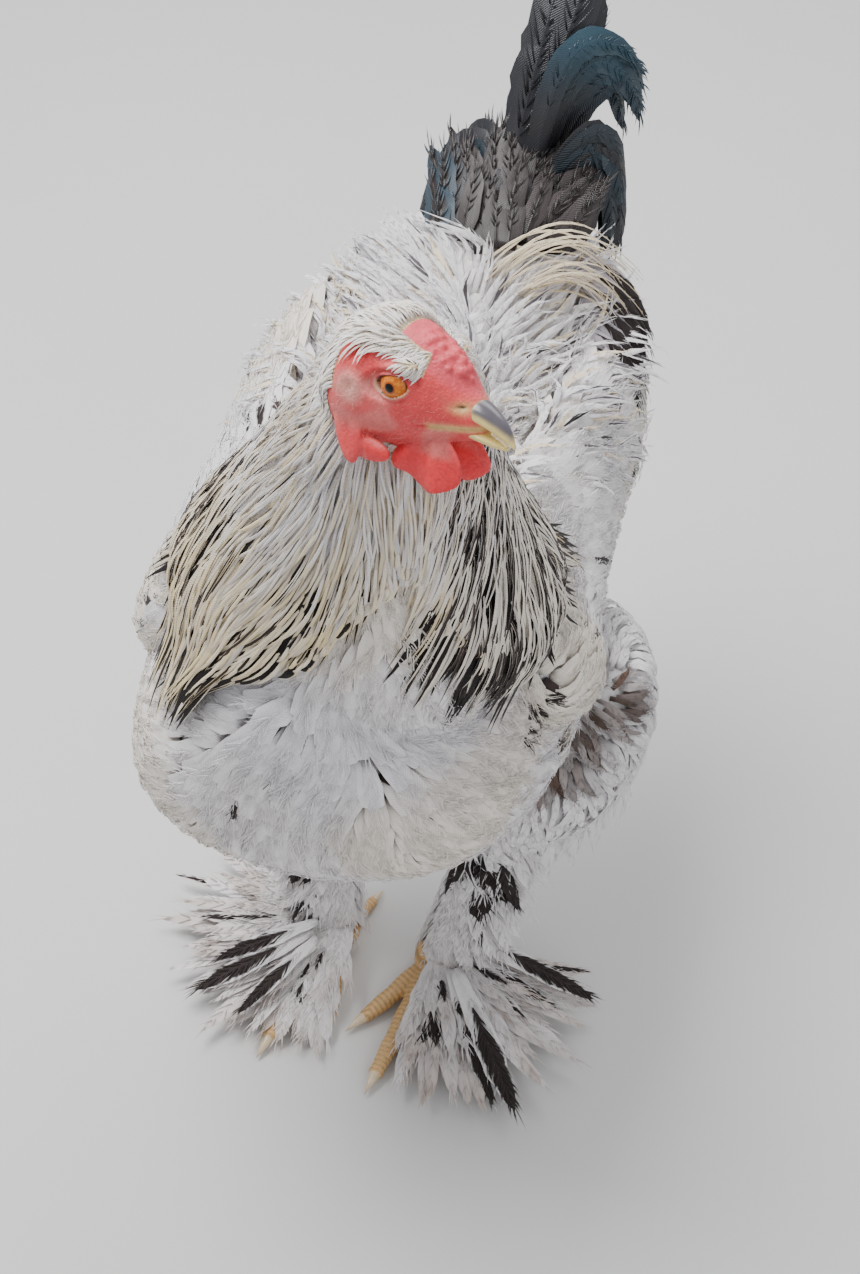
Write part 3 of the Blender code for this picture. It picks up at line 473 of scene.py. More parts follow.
def feather_material(name, roughness, sheen, specular=0.3, barb_depth=0.35, ragged=0.5):
    """Vane colour with its mark down the middle, its shaft and its barbs."""
    nodes = Nodes(name, roughness, sheen=sheen, specular=specular)
    ground = nodes.attribute("ground")
    mark = nodes.attribute("mark")
    split = nodes.tree.nodes.new("ShaderNodeSeparateXYZ")
    nodes.tree.links.new(nodes.attribute("vane")["Vector"], split.inputs[0])
    across = nodes.math("ABSOLUTE", split.outputs["X"])
    blotches = nodes.noise(140.0, 3.0)
    edge = nodes.math("ADD", across, nodes.math("MULTIPLY_ADD", blotches, ragged, -0.5 * ragged))
    width = mark["Alpha"]
    inner = nodes.math("SUBTRACT", width, 0.10)
    outer = nodes.math("ADD", width, 0.10)
    outside = nodes.step(inner, outer, edge)
    inside = nodes.math("SUBTRACT", 1.0, outside)
    present = nodes.step(0.02, 0.10, width)
    inside = nodes.math("MULTIPLY", inside, present)
    painted = nodes.mix(inside, ground["Color"], mark["Color"])
    barbs = nodes.math("SINE", nodes.math("MULTIPLY", split.outputs["Z"], 2 * math.pi))
    barb_shade = nodes.math("MULTIPLY_ADD", barbs, 0.07, 0.90)
    fine = nodes.noise(420.0, 4.0)
    shade = nodes.math("ADD", barb_shade, nodes.math("MULTIPLY_ADD", fine, 0.22, -0.11))
    stretch = nodes.tree.nodes.new("ShaderNodeVectorMath")
    stretch.operation = "MULTIPLY_ADD"
    nodes.tree.links.new(nodes.attribute("vane")["Vector"], stretch.inputs[0])
    stretch.inputs[1].default_value = (4.0, 1.4, 0.0)
    scaled = nodes.tree.nodes.new("ShaderNodeVectorMath")
    scaled.operation = "SCALE"
    nodes.tree.links.new(nodes.place(), scaled.inputs[0])
    scaled.inputs["Scale"].default_value = 45.0
    nodes.tree.links.new(scaled.outputs[0], stretch.inputs[2])
    streaks = nodes.noise(1.0, 2.0, stretch.outputs[0])
    shade = nodes.math("ADD", shade, nodes.math("MULTIPLY_ADD", streaks, 0.50, -0.22))
    combined = nodes.tree.nodes.new("ShaderNodeCombineColor")
    for socket in combined.inputs:
        nodes.tree.links.new(shade, socket)
    painted = nodes.mix(1.0, painted, combined.outputs[0], "MULTIPLY")
    nodes.colour(painted)
    shaft = nodes.math("SUBTRACT", 1.0, nodes.step(0.0, 0.14, across))
    height = nodes.math("MULTIPLY_ADD", barbs, 0.35, shaft)
    nodes.bump(height, barb_depth, 0.0004)
    return nodes.material


def skin_material():
    """Bare skin, ringed toes and the down under the feathers, tinted by place."""
    nodes = Nodes("skin", 0.50, subsurface=0.12, specular=0.4)
    tint = nodes.attribute("tint")
    pores = nodes.cells(900.0)
    folds = nodes.noise(260.0, 5.0)
    shade = nodes.math("MULTIPLY_ADD", folds, 0.55, 0.70)
    shade = nodes.math("SUBTRACT", shade, nodes.math("MULTIPLY", pores, 0.22))
    combined = nodes.tree.nodes.new("ShaderNodeCombineColor")
    for socket in combined.inputs:
        nodes.tree.links.new(shade, socket)
    nodes.colour(nodes.mix(1.0, tint["Color"], combined.outputs[0], "MULTIPLY"))
    height = nodes.math("MULTIPLY_ADD", folds, 1.2, nodes.math("MULTIPLY", pores, -0.8))
    nodes.bump(height, 0.55, 0.0006)
    return nodes.material


def horn_material():
    nodes = Nodes("horn", 0.30, coat=0.25, subsurface=0.05)
    tint = nodes.attribute("tint")
    streaks = nodes.noise(300.0, 4.0)
    shade = nodes.math("MULTIPLY_ADD", streaks, 0.5, 0.75)
    combined = nodes.tree.nodes.new("ShaderNodeCombineColor")
    for socket in combined.inputs:
        nodes.tree.links.new(shade, socket)
    nodes.colour(nodes.mix(1.0, tint["Color"], combined.outputs[0], "MULTIPLY"))
    nodes.bump(streaks, 0.12, 0.0004)
    return nodes.material


def eye_material():
    """Black pupil, orange iris with a darker rim, and a wet surface."""
    nodes = Nodes("eye", 0.16, coat=0.20, specular=0.25)
    reach = nodes.attribute("reach")["Fac"]
    rays = nodes.noise(700.0, 4.0)
    iris = nodes.mix(nodes.step(0.35, 0.65, rays), (0.50, 0.110, 0.006, 1.0), (0.74, 0.235, 0.018, 1.0))
    iris = nodes.mix(nodes.step(0.0052, 0.0064, reach), iris, (0.22, 0.040, 0.01, 1.0))
    iris = nodes.mix(nodes.step(0.0020, 0.0032, reach), (0.30, 0.050, 0.005, 1.0), iris)
    nodes.colour(nodes.mix(nodes.step(0.0018, 0.0021, reach), grey(0.003), iris))
    return nodes.material


def floor_material():
    nodes = Nodes("floor", 0.75, specular=0.2)
    cloud = nodes.noise(3.0, 4.0)
    nodes.colour(nodes.mix(cloud, (0.62, 0.61, 0.60, 1.0), (0.68, 0.67, 0.66, 1.0)))
    return nodes.material


# Skin


def slimmer(y):
    return LEFT_FLANK * float(smooth_step(-0.030, 0.050, y) * smooth_step(0.250, 0.200, y))


def torso_ring(y, inset, around=72):
    x, top, middle, bottom, half_width = values_at(TORSO_ROWS, y)
    ring = []
    for k in range(around):
        angle = 2 * math.pi * k / around
        power = TORSO_TOP_POWER if math.sin(angle) > 0 else 2.0
        reach = (top - middle if math.sin(angle) > 0 else middle - bottom) - inset
        across = math.copysign(abs(math.cos(angle)) ** (2 / power), math.cos(angle))
        width = half_width - inset - (slimmer(y) if across > 0 else 0.0)
        upward = math.copysign(abs(math.sin(angle)) ** (2 / power), math.sin(angle))
        ring.append(Vector((x + width * across, y, middle + max(reach, 0.004) * upward)))
    return ring


def wing_ring(y, side, inset, around=32):
    height, half_height = values_at(WING_ROWS, y)
    x, top, middle, _, half_width = values_at(TORSO_ROWS, y)
    rise = (height - middle) / (top - middle)
    reach = half_width * (1 - rise**TORSO_TOP_POWER) ** (1 / TORSO_TOP_POWER)
    centre = Vector((x + side * (reach - 0.009) - (slimmer(y) if side > 0 else 0.0), y, height))
    slope = Vector((-side * 0.55, 0, 1)).normalized()
    out = Vector((side * slope.z, 0, abs(slope.x)))
    thick = 0.018 * min(1.0, half_height / 0.034) - inset
    return ellipse_ring(centre, slope, out, half_height - inset, max(thick, 0.003), 0.008, around)


def neck_ring(z, inset, around=64):
    x, y, half_width, half_depth = values_at(NECK_ROWS, z)
    centre = Vector((x, y, z))
    across, back = Vector((1, 0, 0)), Vector((0, 1, 0))
    depth = half_depth - inset
    return ellipse_ring(centre, across, back, half_width - inset, depth, depth, around)


def thigh_ring(z, side, inset, around=40):
    rows = ((0.285, 0.045), (0.255, 0.062), (0.220, 0.067), (0.185, 0.057), (0.155, 0.038), (0.130, 0.021))
    hock = HOCK["left" if side > 0 else "right"]
    radius = max(values_at(rows, z)[0] - inset, 0.009)
    share = (0.285 - z) / (0.285 - 0.130)
    outward = 0.088 if side > 0 else 0.076
    centre = Vector((side * outward, 0.040, z)).lerp(Vector((hock.x, hock.y, z)), share**1.6)
    return ellipse_ring(centre, Vector((1, 0, 0)), Vector((0, 1, 0)), radius, radius * 1.15, radius, around)


def body_shapes():
    shapes = [loft_data([torso_ring(y, TORSO_COAT) for y in spread(-0.150, 0.258, 50)])]
    shapes.append(loft_data([neck_ring(z, CORE_COAT) for z in spread(0.345, 0.591, 36)]))
    tail_rows = ((0.205, 0.392, 0.027), (0.228, 0.420, 0.033), (0.246, 0.440, 0.027), (0.262, 0.460, 0.011))
    rings = []
    for y, z, radius in tail_rows:
        centre = Vector((0.006, y, z))
        upward = Vector((0, 0.75, -0.66))
        rings.append(ellipse_ring(centre, Vector((1, 0, 0)), upward, radius * 1.15, radius, radius, 28))
    shapes.append(loft_data(rings))
    for key, side in SIDES:
        shapes.append(loft_data([wing_ring(y, side, CORE_COAT) for y in spread(-0.060, 0.200, 30)]))
        shapes.append(loft_data([thigh_ring(z, side, THIGH_COAT) for z in spread(0.275, 0.128, 24)]))
        spine = [HOCK[key].lerp(FOOT[key], t) for t in (-0.10, 0.15, 0.4, 0.65, 0.85, 0.98)]
        shapes.append(tube_data(spine, (0.012, 0.0105, 0.0100, 0.0100, 0.0110, 0.0120)))
    return shapes


def toe_line(key, toe, count=13):
    """Points along a toe, from the foot's centre to the root of its claw."""
    side = 1 if key == "left" else -1
    angle, length, radius = TOES[toe]
    turn = FOOT_TURN[key] + side * angle
    way = Vector((math.sin(turn), -math.cos(turn), 0))
    foot = Vector((FOOT[key].x, FOOT[key].y, 0))
    points, radii = [], []
    for share in spread(0.0, 1.0, count):
        size = radius * (1.0 - 0.42 * share)
        arch = 0.004 * math.sin(math.pi * share) * (1 - share)
        points.append(foot + way * length * share + Vector((0, 0, size * 0.92 + arch + 0.004 * (1 - share) ** 3)))
        radii.append(size)
    return points, radii, way


def foot_shapes(key):
    centre = Vector((FOOT[key].x, FOOT[key].y, 0.0165))
    shapes = [ball_data(centre, (0.0142, 0.0142, 0.0165))]
    for toe in TOES:
        points, radii, _ = toe_line(key, toe, 25)
        length = TOES[toe][1]
        knuckled = []
        for share, radius in zip(spread(0.0, 1.0, 25), radii):
            knuckle = 1.0 + 0.05 * math.cos(2 * math.pi * share * length / 0.024)
            knuckled.append((radius - 0.0004) * knuckle)
        shapes.append(tube_data(points, knuckled, 24))
    return shapes


def wattle_shape(side):
    """A thin rounded flap with folds that fan out from its root."""
    half_width, half_length = 0.0200, 0.0135
    points, faces = ball_data(Vector(), (0.0028, half_width, half_length), segments=64, rings=40)
    turn = Matrix.Rotation(side * math.radians(-10), 4, "Y") @ Matrix.Rotation(math.radians(10), 4, "X")
    place = Matrix.Translation(Vector((side * 0.0090, -0.0175, -0.0255))) @ turn
    made = []
    for point in points:
        below = (half_length - point.z) / (2 * half_length)
        fan = math.atan2(point.y, half_length + 0.004 - point.z)
        notch = 0.0022 * below * math.exp(-(((fan - 0.22) / 0.16) ** 2))
        bend = 0.0027 * below * math.cos(8.5 * fan) - side * 0.5 * notch
        made.append(place @ Vector((point.x + bend, point.y, point.z + notch)))
    return made, faces


def lobe_shapes(side):
    """The long folded lobe below the ear and the small one before it."""
    points, faces = ball_data(Vector(), (0.0030, 0.0072, 0.0165), segments=48, rings=36)
    tilt = Matrix.Rotation(side * math.radians(-10), 4, "Y")
    place = Matrix.Translation(Vector((side * 0.0205, 0.0155, -0.0165))) @ tilt
    made = []
    for point in points:
        fold = -side * 0.0022 * math.exp(-((point.y / 0.0034) ** 2) - (point.z / 0.0100) ** 2)
        made.append(place @ Vector((point.x + fold, point.y + 0.30 * point.z, point.z)))
    small = ball_data(Vector((side * 0.0183, 0.0060, -0.0258)), (0.0030, 0.0125, 0.0052))
    return [(made, faces), small]


def comb_shapes():
    """A low pea comb: a broad ridge with rows of knobs, the middle ones the highest."""
    radii = (0.0098, 0.0155, 0.0066)
    turn = Matrix.Rotation(math.radians(31), 4, "X")
    centre = Vector((0, -0.0168, 0.0146))
    place = Matrix.Translation(centre) @ turn
    shapes = [ball_data(centre, radii, turn, 40, 24)]
    draw = np.random.default_rng(5)
    for tilt, big in ((-68, 0.8), (-40, 0.95), (-14, 1.2), (14, 1.2), (40, 0.95), (68, 0.8)):
        for k in range(8):
            far = math.radians(-66 + 18 * (k + draw.uniform(-0.25, 0.25)))
            aside = math.radians(tilt + draw.uniform(-7, 7))
            knob = place @ Vector((
                radii[0] * math.sin(aside) * math.cos(far),
                radii[1] * math.sin(far),
                radii[2] * math.cos(aside) * math.cos(far),
            ))
            size = draw.uniform(0.0013, 0.0024) * big
            shapes.append(ball_data(knob, (size, size * 1.15, size), segments=16, rings=10))
    return shapes


def head_shapes():
    """The head, comb, wattles and lobes in the head's own frame."""
    rings = []
    for y in spread(0.036, -0.0425, 50):
        middle, half_width, up, down = values_at(HEAD_ROWS, y)
        centre = Vector((0, y, middle))
        rings.append(ellipse_ring(centre, Vector((1, 0, 0)), Vector((0, 0, 1)), half_width, up, down, 64))
    shapes = [loft_data(rings), *comb_shapes()]
    for _, side in SIDES:
        shapes.append(wattle_shape(side))
        shapes += lobe_shapes(side)
        shapes.append(ball_data(Vector((side * 0.0222, 0.0130, 0.0010)), (0.0028, 0.0062, 0.0060)))
        brow = Matrix.Rotation(math.radians(-14), 4, "X")
        shapes.append(ball_data(Vector((side * 0.0165, -0.0060, 0.0125)), (0.0042, 0.0115, 0.0030), brow))
    return shapes


def shape_face(points):
    """Opens the eyes between their lids, and presses in the mouth, nostrils and ears."""
    x, y, z = points[:, 0].copy(), points[:, 1], points[:, 2]
    side = np.where(x >= 0, 1.0, -1.0)
    outer = np.abs(x)
    dy, dz = y - EYE_PLACE.y, z - EYE_PLACE.z
    dz = dz + 0.10 * dy
    ring = np.sqrt((dy / 0.0076) ** 2 + (dz / 0.0042) ** 2)
    on_side = outer > 0.011
    ball = EYE_RADIUS**2 - dy**2 - (z - EYE_PLACE.z) ** 2
    eyeball = EYE_PLACE.x + np.sqrt(np.maximum(ball, 0.0))
    hollow = 1 - smooth_step(1.0, 1.9, ring)
    lid = np.exp(-(((ring - 1.16) / 0.15) ** 2))
    crease = np.exp(-(((ring - 1.52) / 0.13) ** 2)) * (dz > 0)
    target = np.maximum(np.where(ball > 0, eyeball + 0.0005, 0.0), 0.0176)
    shaped = outer + (np.minimum(outer, target) - outer) * hollow
    shaped = shaped + 0.0011 * lid - 0.0006 * crease
    shaped = np.where(ring < 1.0, 0.0150, shaped)
    outer = np.where(on_side & (ring < 2.0), shaped, outer)
    mouth = np.exp(-(((z + 0.0085 + 0.10 * (y + 0.030)) / 0.0007) ** 2))
    mouth *= smooth_step(-0.0150, -0.0190, y) * (z < 0.0)
    outer = outer - 0.0009 * mouth * (outer > 0.004)
    nostril = np.exp(-(((y + 0.0345) / 0.0022) ** 2) - ((z - 0.0010) / 0.0009) ** 2)
    outer = outer - 0.0013 * nostril * (outer > 0.004)
    ear = np.exp(-(((y - 0.0130) / 0.0026) ** 2) - ((z - 0.0010) / 0.0030) ** 2)
    outer = outer - 0.0022 * ear * (outer > 0.012)
    points = points.copy()
    points[:, 0] = side * outer
    return points


def face_tint(local, colours):
    """Colours the bare face, by places in the head's own frame."""
    x, y, z = np.abs(local[:, 0]), local[:, 1], local[:, 2]
    dy, dz = y - EYE_PLACE.y, z - EYE_PLACE.z
    ring = np.sqrt((dy / 0.0076) ** 2 + ((dz + 0.10 * dy) / 0.0046) ** 2)
    near = (np.abs(y) < 0.07) & (x < 0.06) & (z > -0.055) & (z < 0.06)
    face = near & (crown_share(local) < 0.5)

    def paint(mask, colour):
        share = np.clip(mask, 0.0, 1.0)[:, None] * face[:, None]
        colours[:] = colours * (1 - share) + colour * share

    paint(np.ones(len(y)), FACE_RED)
    pale = smooth_step(-0.3, 1.2, noise_field(local, 0.0045, 90)) * 0.30
    paint(pale, PALE_PINK)
    comb = smooth_step(0.011, 0.015, z - 0.55 * (y + 0.0200) * (y > -0.04)) * (y < 0.0)
    paint(comb, COMB_RED)
    paint(smooth_step(-0.020, -0.025, z) * (y < 0.004), WATTLE_RED)
    ear = np.exp(-((((y - 0.0125) / 0.0075) ** 2 + ((z - 0.0005) / 0.0070) ** 2) ** 1.5))
    paint(ear * (x > 0.014) * 0.85, PALE_PINK)
    paint(np.exp(-(((ring - 1.08) / 0.10) ** 2)) * (dz < 0.001) * (x > 0.012), LID_CREAM)
    lips = np.exp(-(((z + 0.0085 + 0.10 * (y + 0.030)) / 0.0016) ** 2)) * smooth_step(-0.019, -0.024, y)
    paint(lips * 0.8, HORN_YELLOW)
    patch = np.exp(-(((y + 0.0350) / 0.0040) ** 2) - ((z - 0.0005) / 0.0024) ** 2)
    paint(patch * 0.75, HORN_YELLOW)
    paint(np.exp(-(((ring - 1.02) / 0.07) ** 2)) * (dz > -0.0005) * (x > 0.012) * 0.9, LID_AND_HOLLOW_DARK)
    # Painted shade in the hollow round the eyeball.
    paint((ring < 0.98) * (x > 0.010), LID_AND_HOLLOW_DARK)
    # Painted shade in the slit of the nostril.
    nostril_shade = np.exp(-(((y + 0.0345) / 0.0018) ** 2) - ((z - 0.0010) / 0.0006) ** 2)
    paint(nostril_shade, LID_AND_HOLLOW_DARK)
    return colours


def crown_share(local):
    """Nearly 1 where the head carries feathers and nearly 0 on its bare face."""
    x, y, z = np.abs(local[:, 0]), local[:, 1], local[:, 2]
    brow = 0.0158 + 0.06 * (y + 0.006) - 0.0060 * smooth_step(-0.007, -0.018, y)
    beside_comb = 0.0098 - 0.002 * smooth_step(-0.010, -0.024, y)
    top = smooth_step(brow, brow + 0.0030, z) * smooth_step(-0.0205, -0.0170, y)
    top *= np.where(y < -0.003, smooth_step(beside_comb - 0.001, beside_comb + 0.001, x), 1.0)
    back = smooth_step(0.0215, 0.0240, y - 0.10 * z)
    throat = smooth_step(-0.0235, -0.0265, z) * smooth_step(-0.010, -0.004, y) * (x < 0.010)
    lobe = (x > 0.0150) & (z < -0.003) & (y < 0.0270)
    return np.where(lobe, 0.0, np.maximum(np.maximum(top, back), throat))


def toe_tint(points, colours):
    """Yellow toes with darker rings between their scutes, and painted shade towards the floor."""
    low = points[:, 2] < 0.0335
    for key, _ in SIDES:
        foot = np.array((FOOT[key].x, FOOT[key].y))
        offset = points[:, :2] - foot
        away = np.linalg.norm(offset, axis=1)
        mine = low & (away < 0.105) & (np.sign(points[:, 0]) == np.sign(foot[0]))
        scutes = 0.5 + 0.5 * np.sin(away / 0.0034 * 2 * math.pi)
        shade = 0.62 + 0.38 * smooth_step(0.08, 0.45, scutes)
        # Painted shade: each toe darkens towards the floor.
        underside_shade = 0.75 + 0.25 * smooth_step(0.002, 0.008, points[:, 2])
        colours[mine] = YELLOW * (shade * underside_shade)[mine, None]
    return colours


def shape_toes(points):
    """Raises the scutes on top of the toes and levels the soles."""
    points = points.copy()
    for key, _ in SIDES:
        foot = np.array((FOOT[key].x, FOOT[key].y))
        offset = points[:, :2] - foot
        away = np.linalg.norm(offset, axis=1)
        mine = (np.sign(points[:, 0]) == np.sign(foot[0])) & (away > 0.012) & (points[:, 2] < 0.03)
        scutes = np.abs(np.sin(away / 0.0034 * math.pi)) ** 0.5
        points[mine, 2] += (0.0007 * scutes[mine] - 0.0004) * smooth_step(0.006, 0.010, points[mine, 2])
    points[:, 2] = np.where(points[:, 2] < 0.0009, 0.0, points[:, 2])
    return points


def build_skin():
    """One skin over body, head and feet, with a tint at each point."""
    body = melt("body", body_shapes(), 0.0040, 8)
    head = melt("head", head_shapes(), 0.00072, 2)
    local = shape_face(head[0])
    matrix = np.array(head_matrix())
    head = (local @ matrix[:3, :3].T + matrix[:3, 3], head[1])
    feet = melt("feet", [*foot_shapes("left"), *foot_shapes("right")], 0.0010, 2)
    feet = (shape_toes(feet[0]), feet[1])
    rump = smooth_step(0.176, 0.192, body[0][:, 1]) * smooth_step(0.405, 0.425, body[0][:, 2])
    colours = [WHITE * 0.82 * (1 - rump[:, None]) + TAIL_BLACK * rump[:, None]]
    colours.append(face_tint(local, np.tile(CREAM * 0.8, (len(local), 1))))
    colours.append(toe_tint(feet[0], np.tile(WHITE * 0.7, (len(feet[0]), 1))))
    points, faces = [], []
    for part_points, part_faces in (body, head, feet):
        first = sum(len(p) for p in points)
        points.append(part_points)
        faces += [tuple(first + i for i in face) for face in part_faces]
    tint = with_alpha(np.concatenate(colours))
    points = np.concatenate(points)
    skin = make_object("skin", points, faces, skin_material(), {"tint": ("FLOAT_COLOR", tint)})
    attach(skin, "root")
    flesh = ["torso", "neck", "head", "comb", "tail"]
    for key, _ in SIDES:
        flesh += [part + "_" + key for part in ("wattle", "earlobe", "wing", "thigh", "shank", "foot")]
    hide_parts(*flesh)
    return body, head


# Beak, eyes and claws


def build_beak(material):
    for name, rows, reach_up, reach_down in (
        ("beak_top", BEAK_UPPER_ROWS, 1.0, 0.55), ("beak_bottom", BEAK_LOWER_ROWS, 0.4, 1.0),
    ):
        rings = []
        for y in spread(rows[0][0], rows[-1][0], 40):
            middle, half_width, reach = values_at(rows, y)
            centre = Vector((0, y, middle))
            up, down = reach * reach_up, reach * reach_down
            rings.append(ellipse_ring(centre, Vector((1, 0, 0)), Vector((0, 0, 1)), half_width, up, down, 48))
        points, faces = loft_data(rings)
        local = np.array([tuple(p) for p in points])
        middle = np.array([values_at(rows, y)[0] for y in local[:, 1]])
        ridge = smooth_step(0.0002, 0.0030, local[:, 2] - middle) if rows is BEAK_UPPER_ROWS else 0.0 * middle
        ridge = ridge * smooth_step(-0.0575, -0.0545, local[:, 1]) * smooth_step(-0.0350, -0.0400, local[:, 1])
        tint = HORN_YELLOW + (HORN_DARK - HORN_YELLOW) * ridge[:, None]
        matrix = np.array(head_matrix())
        world = local @ matrix[:3, :3].T + matrix[:3, 3]
        beak = make_object(name, world, faces, material, {"tint": ("FLOAT_COLOR", with_alpha(tint))})
        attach(beak, "root")
        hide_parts("beak_upper" if rows is BEAK_UPPER_ROWS else "beak_lower")


def build_eyes():
    material = eye_material()
    matrix = np.array(head_matrix())
    for key, side in SIDES:
        centre = Vector((side * EYE_PLACE.x, EYE_PLACE.y, EYE_PLACE.z))
        points, faces = ball_data(centre, (EYE_RADIUS,) * 3, segments=64, rings=48)
        local = np.array([tuple(p) for p in points])
        offset = local - np.array(centre)
        reach = np.hypot(offset[:, 1] + 0.0012, offset[:, 2]) + np.where(offset[:, 0] * side < 0, 0.02, 0.0)
        local[:, 0] += side * 0.0007 * np.exp(-((reach / 0.0045) ** 2))
        world = local @ matrix[:3, :3].T + matrix[:3, 3]
        eye = make_object("eyeball_" + key, world, faces, material, {"reach": ("FLOAT", reach)})
        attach(eye, "root")
        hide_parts("eye_" + key)


def build_claws(material):
    for key, _ in SIDES:
        for toe in TOES:
            points, radii, way = toe_line(key, toe)
            start, size = points[-1], radii[-1]
            length = 0.015 if toe != "hind" else 0.012
            spine, sizes = [], []
            for share in spread(-0.25, 1.0, 18):
                drop = 0.0022 * max(share, 0) ** 2
                spine.append(start + way * length * share + Vector((0, 0, 0.0004 - drop)))
                sizes.append(max(size * 0.70 * (1 - 0.96 * max(share, 0) ** 1.2), 0.00015))
            points, faces = tube_data(spine, sizes, 20)
            local = np.array([tuple(p) for p in points])
            local[:, 2] = np.maximum(local[:, 2], 0.0)
            far = np.linalg.norm(local - np.array(start), axis=1) / length
            tint = np.array((0.66, 0.52, 0.34)) * (1 - 0.35 * smooth_step(0.5, 1.1, far))[:, None]
            name = "nail_" + key + "_" + toe
            claw = make_object(name, local, faces, material, {"tint": ("FLOAT_COLOR", with_alpha(tint))})
            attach(claw, "root")
            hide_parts("claw_" + key + "_" + toe)


# Feathers


def scatter(points, faces, wanted, gap, tries):
    """Random places on the surface at least a gap apart, where wanted is true, with normals."""
    corners = np.array([(f[0], f[1], f[2]) for f in faces] + [(f[0], f[2], f[3]) for f in faces if len(f) == 4])
    a, b, c = points[corners[:, 0]], points[corners[:, 1]], points[corners[:, 2]]
    normals = np.cross(b - a, c - a)
    areas = np.linalg.norm(normals, axis=1)
    keep = wanted((a + b + c) / 3, unit(normals)) & (areas > 0)
    a, b, c, normals, areas = a[keep], b[keep], c[keep], normals[keep], areas[keep]
    chosen = RNG.choice(len(a), tries, p=areas / areas.sum())
    u, v = RNG.random(tries), RNG.random(tries)
    flip = u + v > 1
    u[flip], v[flip] = 1 - u[flip], 1 - v[flip]
    places = a[chosen] + (b - a)[chosen] * u[:, None] + (c - a)[chosen] * v[:, None]
    ways = unit(normals)[chosen]
    cells, kept = {}, []
    for index, place in enumerate(places):
        cell = tuple((place // gap).astype(int))
        crowded = False
        for x in (-1, 0, 1):
            for y in (-1, 0, 1):
                for z in (-1, 0, 1):
                    for other in cells.get((cell[0] + x, cell[1] + y, cell[2] + z), ()):
                        if np.dot(place - other, place - other) < gap * gap:
                            crowded = True
        if not crowded:
            cells.setdefault(cell, []).append(place)
            kept.append(index)
    return places[kept], ways[kept]


def lay(tree, roots, way_at, lengths, lifts, wander, spring, turned=0.0, curl=0.0):
    """Follows the surface from each root. Returns spines and outward directions.

    The lifts are heights over the surface at the stations, as shares of each feather's own
    spring, which is how far its tip stands off.
    """
    count = len(lifts)
    spines = np.empty((len(roots), count, 3))
    ups = np.empty((len(roots), count, 3))
    turns = RNG.normal(0.0, wander, len(roots)) + turned
    curls = np.broadcast_to(curl, len(roots))
    for i, root in enumerate(roots):
        place, normal, _, _ = tree.find_nearest(Vector(root))
        step = lengths[i] / (count - 1)
        for s in range(count):
            twist = Matrix.Rotation(turns[i] + curls[i] * s / count, 3, normal)
            spines[i, s] = place + normal * lifts[s] * spring[i]
            ups[i, s] = normal
            way = Vector(way_at(place, normal))
            along = twist @ (way - normal * way.dot(normal))
            place, fresh, _, _ = tree.find_nearest(place + along.normalized() * step)
            normal = (normal * 0.5 + fresh).normalized()
    return spines, ups


def gather(spines, gap, pull):
    """Draws the feathers of each lock together towards their tips."""
    count = spines.shape[1]
    roots = spines[:, 0]
    centres = []
    for index, root in enumerate(roots):
        if not centres or np.linalg.norm(roots[centres] - root, axis=1).min() > gap:
            centres.append(index)
    lengths = np.linalg.norm(np.diff(spines, axis=1), axis=2).sum(axis=1)
    away = np.linalg.norm(roots[:, None] - roots[None, centres], axis=2)
    share = np.linspace(0, 1, count)
    drawn = spines.copy()
    for index, nearest in enumerate(np.argmin(away, axis=1)):
        middle = spines[centres[nearest]]
        far = share * lengths[index] / lengths[centres[nearest]]
        line = np.stack([np.interp(far, share, middle[:, k]) for k in range(3)], axis=1)
        weight = pull * share**1.3 * np.clip(1 - 4 * (far - 1), 0, 1)
        drawn[index] += (line - spines[index]) * weight[:, None]
    return drawn


def relax(spines, rounds=2):
    """Evens out the bends of each feather, keeping its two ends."""
    for _ in range(rounds):
        middle = (spines[:, :-2] + spines[:, 2:]) / 2
        spines[:, 1:-1] = spines[:, 1:-1] * 0.4 + middle * 0.6
    return spines


def outline(count, root=0.4, fullest=0.5, point=0.8):
    """Half width along a feather as a share of its greatest, from root to tip."""
    share = np.linspace(0, 1, count)
    rising = root + (1 - root) * np.sin(np.pi / 2 * np.clip(share / fullest, 0, 1))
    falling = np.cos(np.pi / 2 * np.clip((share - fullest) / (1 - fullest), 0, 1)) ** point
    return np.where(share < fullest, rising, falling)


def unwrap(roots):
    """Where each root lies on an unrolled skin: around the body, and along it."""
    angle = np.arctan2(roots[:, 0] + 0.01, roots[:, 2] - 0.30)
    low = roots[:, 2] < 0.14
    around = angle / (2 * np.pi) + 0.5
    along = roots[:, 1] * 0.9 + roots[:, 2] * 0.45
    around = np.where(low, np.arctan2(roots[:, 1], np.abs(roots[:, 0]) - 0.04) / (2 * np.pi) + 0.5, around)
    flat = np.stack([around, along + 0.15 * np.sin(3 * angle)], axis=1)
    least, most = flat.min(axis=0), flat.max(axis=0)
    return 0.02 + 0.96 * (flat - least) / np.maximum(most - least, 1e-6)


